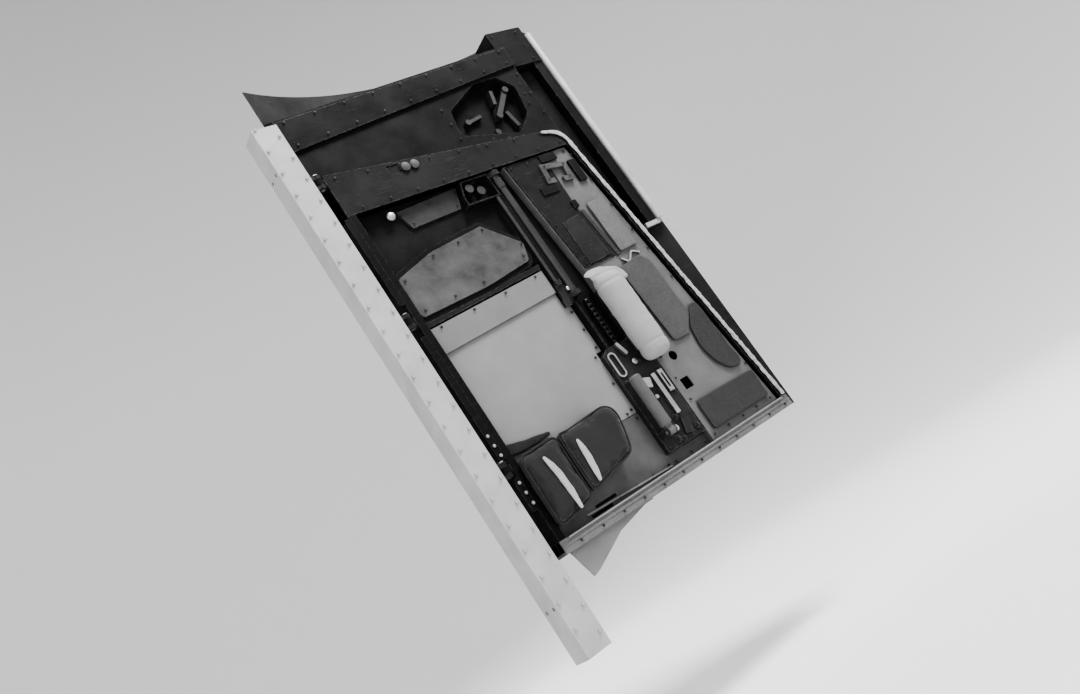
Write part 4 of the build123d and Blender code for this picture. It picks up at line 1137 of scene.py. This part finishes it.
# %% Nuts and hinge flange
DARK_NUTS = (
    # X, face depth, Z, radius, height
    (418, 10, 74, 6.5, 5.0), (434, 10, 68, 5.0, 4.0), (446, 10, 118, 5.0, 4.5),
    (416, 10, 150, 4.5, 4.0), (452, 10, 268, 5.0, 4.0), (388, 10, 236, 4.5, 3.5),
    (486, 10, 262, 4.5, 4.0), (486, 10, 78, 5.5, 4.5),
)
FLANGE_ENDS = ((104, 178), (222, 520), (600, 820))
bm = bmesh.new()
for low, high in FLANGE_ENDS:
    add_plate(bm, rounded(((1, low), (17, low), (17, high), (1, high)), 3.0), -1.0, 0.8)
place("hinge_flange", bm, "band_black")
bm = bmesh.new()
for x, y, z, radius, height in DARK_NUTS:
    washer = ((radius * 1.5, 0), (radius * 1.5, 0.9), (radius * 1.45, 1.0))
    nut = ((radius, 0), (radius, height - 0.8), (radius * 0.9, height))
    bolt_end = ((radius * 0.5, 0), (radius * 0.5, 2.0), (radius * 0.38, 2.6))
    add_head(bm, x, y, z, washer, sides=20)
    add_disc(bm, (x, y - 0.7, z), TO_CABIN, nut, sides=6)
    add_disc(bm, (x, y - height, z), TO_CABIN, bolt_end)
place("dark_nuts", bm, "rod_dark")
print(len(DARK_NUTS), "nuts,", len(FLANGE_ENDS), "lengths of flange")

# %% [markdown]
# Two round bosses stand on the front beam, a thin bead runs along the aft lip and another
# along the aft edge of the panel, and two rows of rivets hold the face of the sill beam.

# %% Bosses, beading and sill rivets
BOSS = ((11, 0), (11, 2.4), (8.5, 5), (3, 6.4))
LIP_BEAD = ((38, 24.2), (742, 24.2), (741, 27.4), (38, 27.4))
PANEL_BEAD = ((118, 40), (372, 31), (372, 34.5), (118, 44))
SILL_RIVET = ((3.4, 0), (3.4, 1.0), (2.6, 1.9), (0.9, 2.2))
SILL_ROWS = ((-22, 0), (-64, 28))
SILL_RIVETS = 22
SILL_FIRST_Z = -150
SILL_ROW_LENGTH = 1200
bm = bmesh.new()
for x in (210, 234):
    add_head(bm, x, 0.0, 898, BOSS, sides=20)
place("beam_bosses", bm, "plate_grey")
bm = bmesh.new()
add_plate(bm, LIP_BEAD, -1.5, 0.1)
add_plate(bm, PANEL_BEAD, 22.6, 24.1)
place("aft_beading", bm, "lip_pale")
bm = bmesh.new()
for i in range(SILL_RIVETS):
    z = SILL_FIRST_Z + SILL_ROW_LENGTH * i / (SILL_RIVETS - 1)
    for x, shift in SILL_ROWS:
        add_head(bm, x, BEAM_CORNER.y, z + shift, SILL_RIVET)
place("sill_rivets", bm, "sill_pale", body="sill")
print(len(SILL_ROWS) * SILL_RIVETS, "rivets on the sill beam")

# %% [markdown]
# The outer skin is riveted to the frames under it, in rows across it and along both edges. The
# heads are pan rivets, set by a ray onto the curved sheet, each square to the surface where it
# lands. A ray that misses the sheet, or meets it at a slant, leaves no rivet.

# %% Skin rivets
RIVET_PROFILE = ((3.2, -0.4), (3.2, 0.5), (2.3, 1.1), (0.8, 1.3))
ROWS_ACROSS_Z = (14, 300, 560, 860, 1228)
EDGE_ROWS_X = (30, 850)
RAY_START_OUTSIDE_Y = 400.0
SHEET_NEAREST_Y = 60.0
SQUARE_ENOUGH = 0.4
skin_tree = surface_of(frame["nodes"]["outer_skin"])
rivet_spots = [(x, z) for z in ROWS_ACROSS_Z for x in range(32, 860, 38)]
rivet_spots += [(x, z) for x in EDGE_ROWS_X for z in range(50, 1210, 46)]
bm = bmesh.new()
rivet_count = 0
for x, z in rivet_spots:
    spot, square, _, _ = skin_tree.ray_cast(at(x, RAY_START_OUTSIDE_Y, z), -INWARD)
    if spot and square.y > SQUARE_ENOUGH and (spot.y - hinge_axis.y) / MM > SHEET_NEAREST_Y:
        add_disc(bm, (spot - hinge_axis) / MM, square, RIVET_PROFILE)
        rivet_count += 1
place("skin_rivets", bm, "skin_dark")
print(rivet_count, "rivets on the skin")
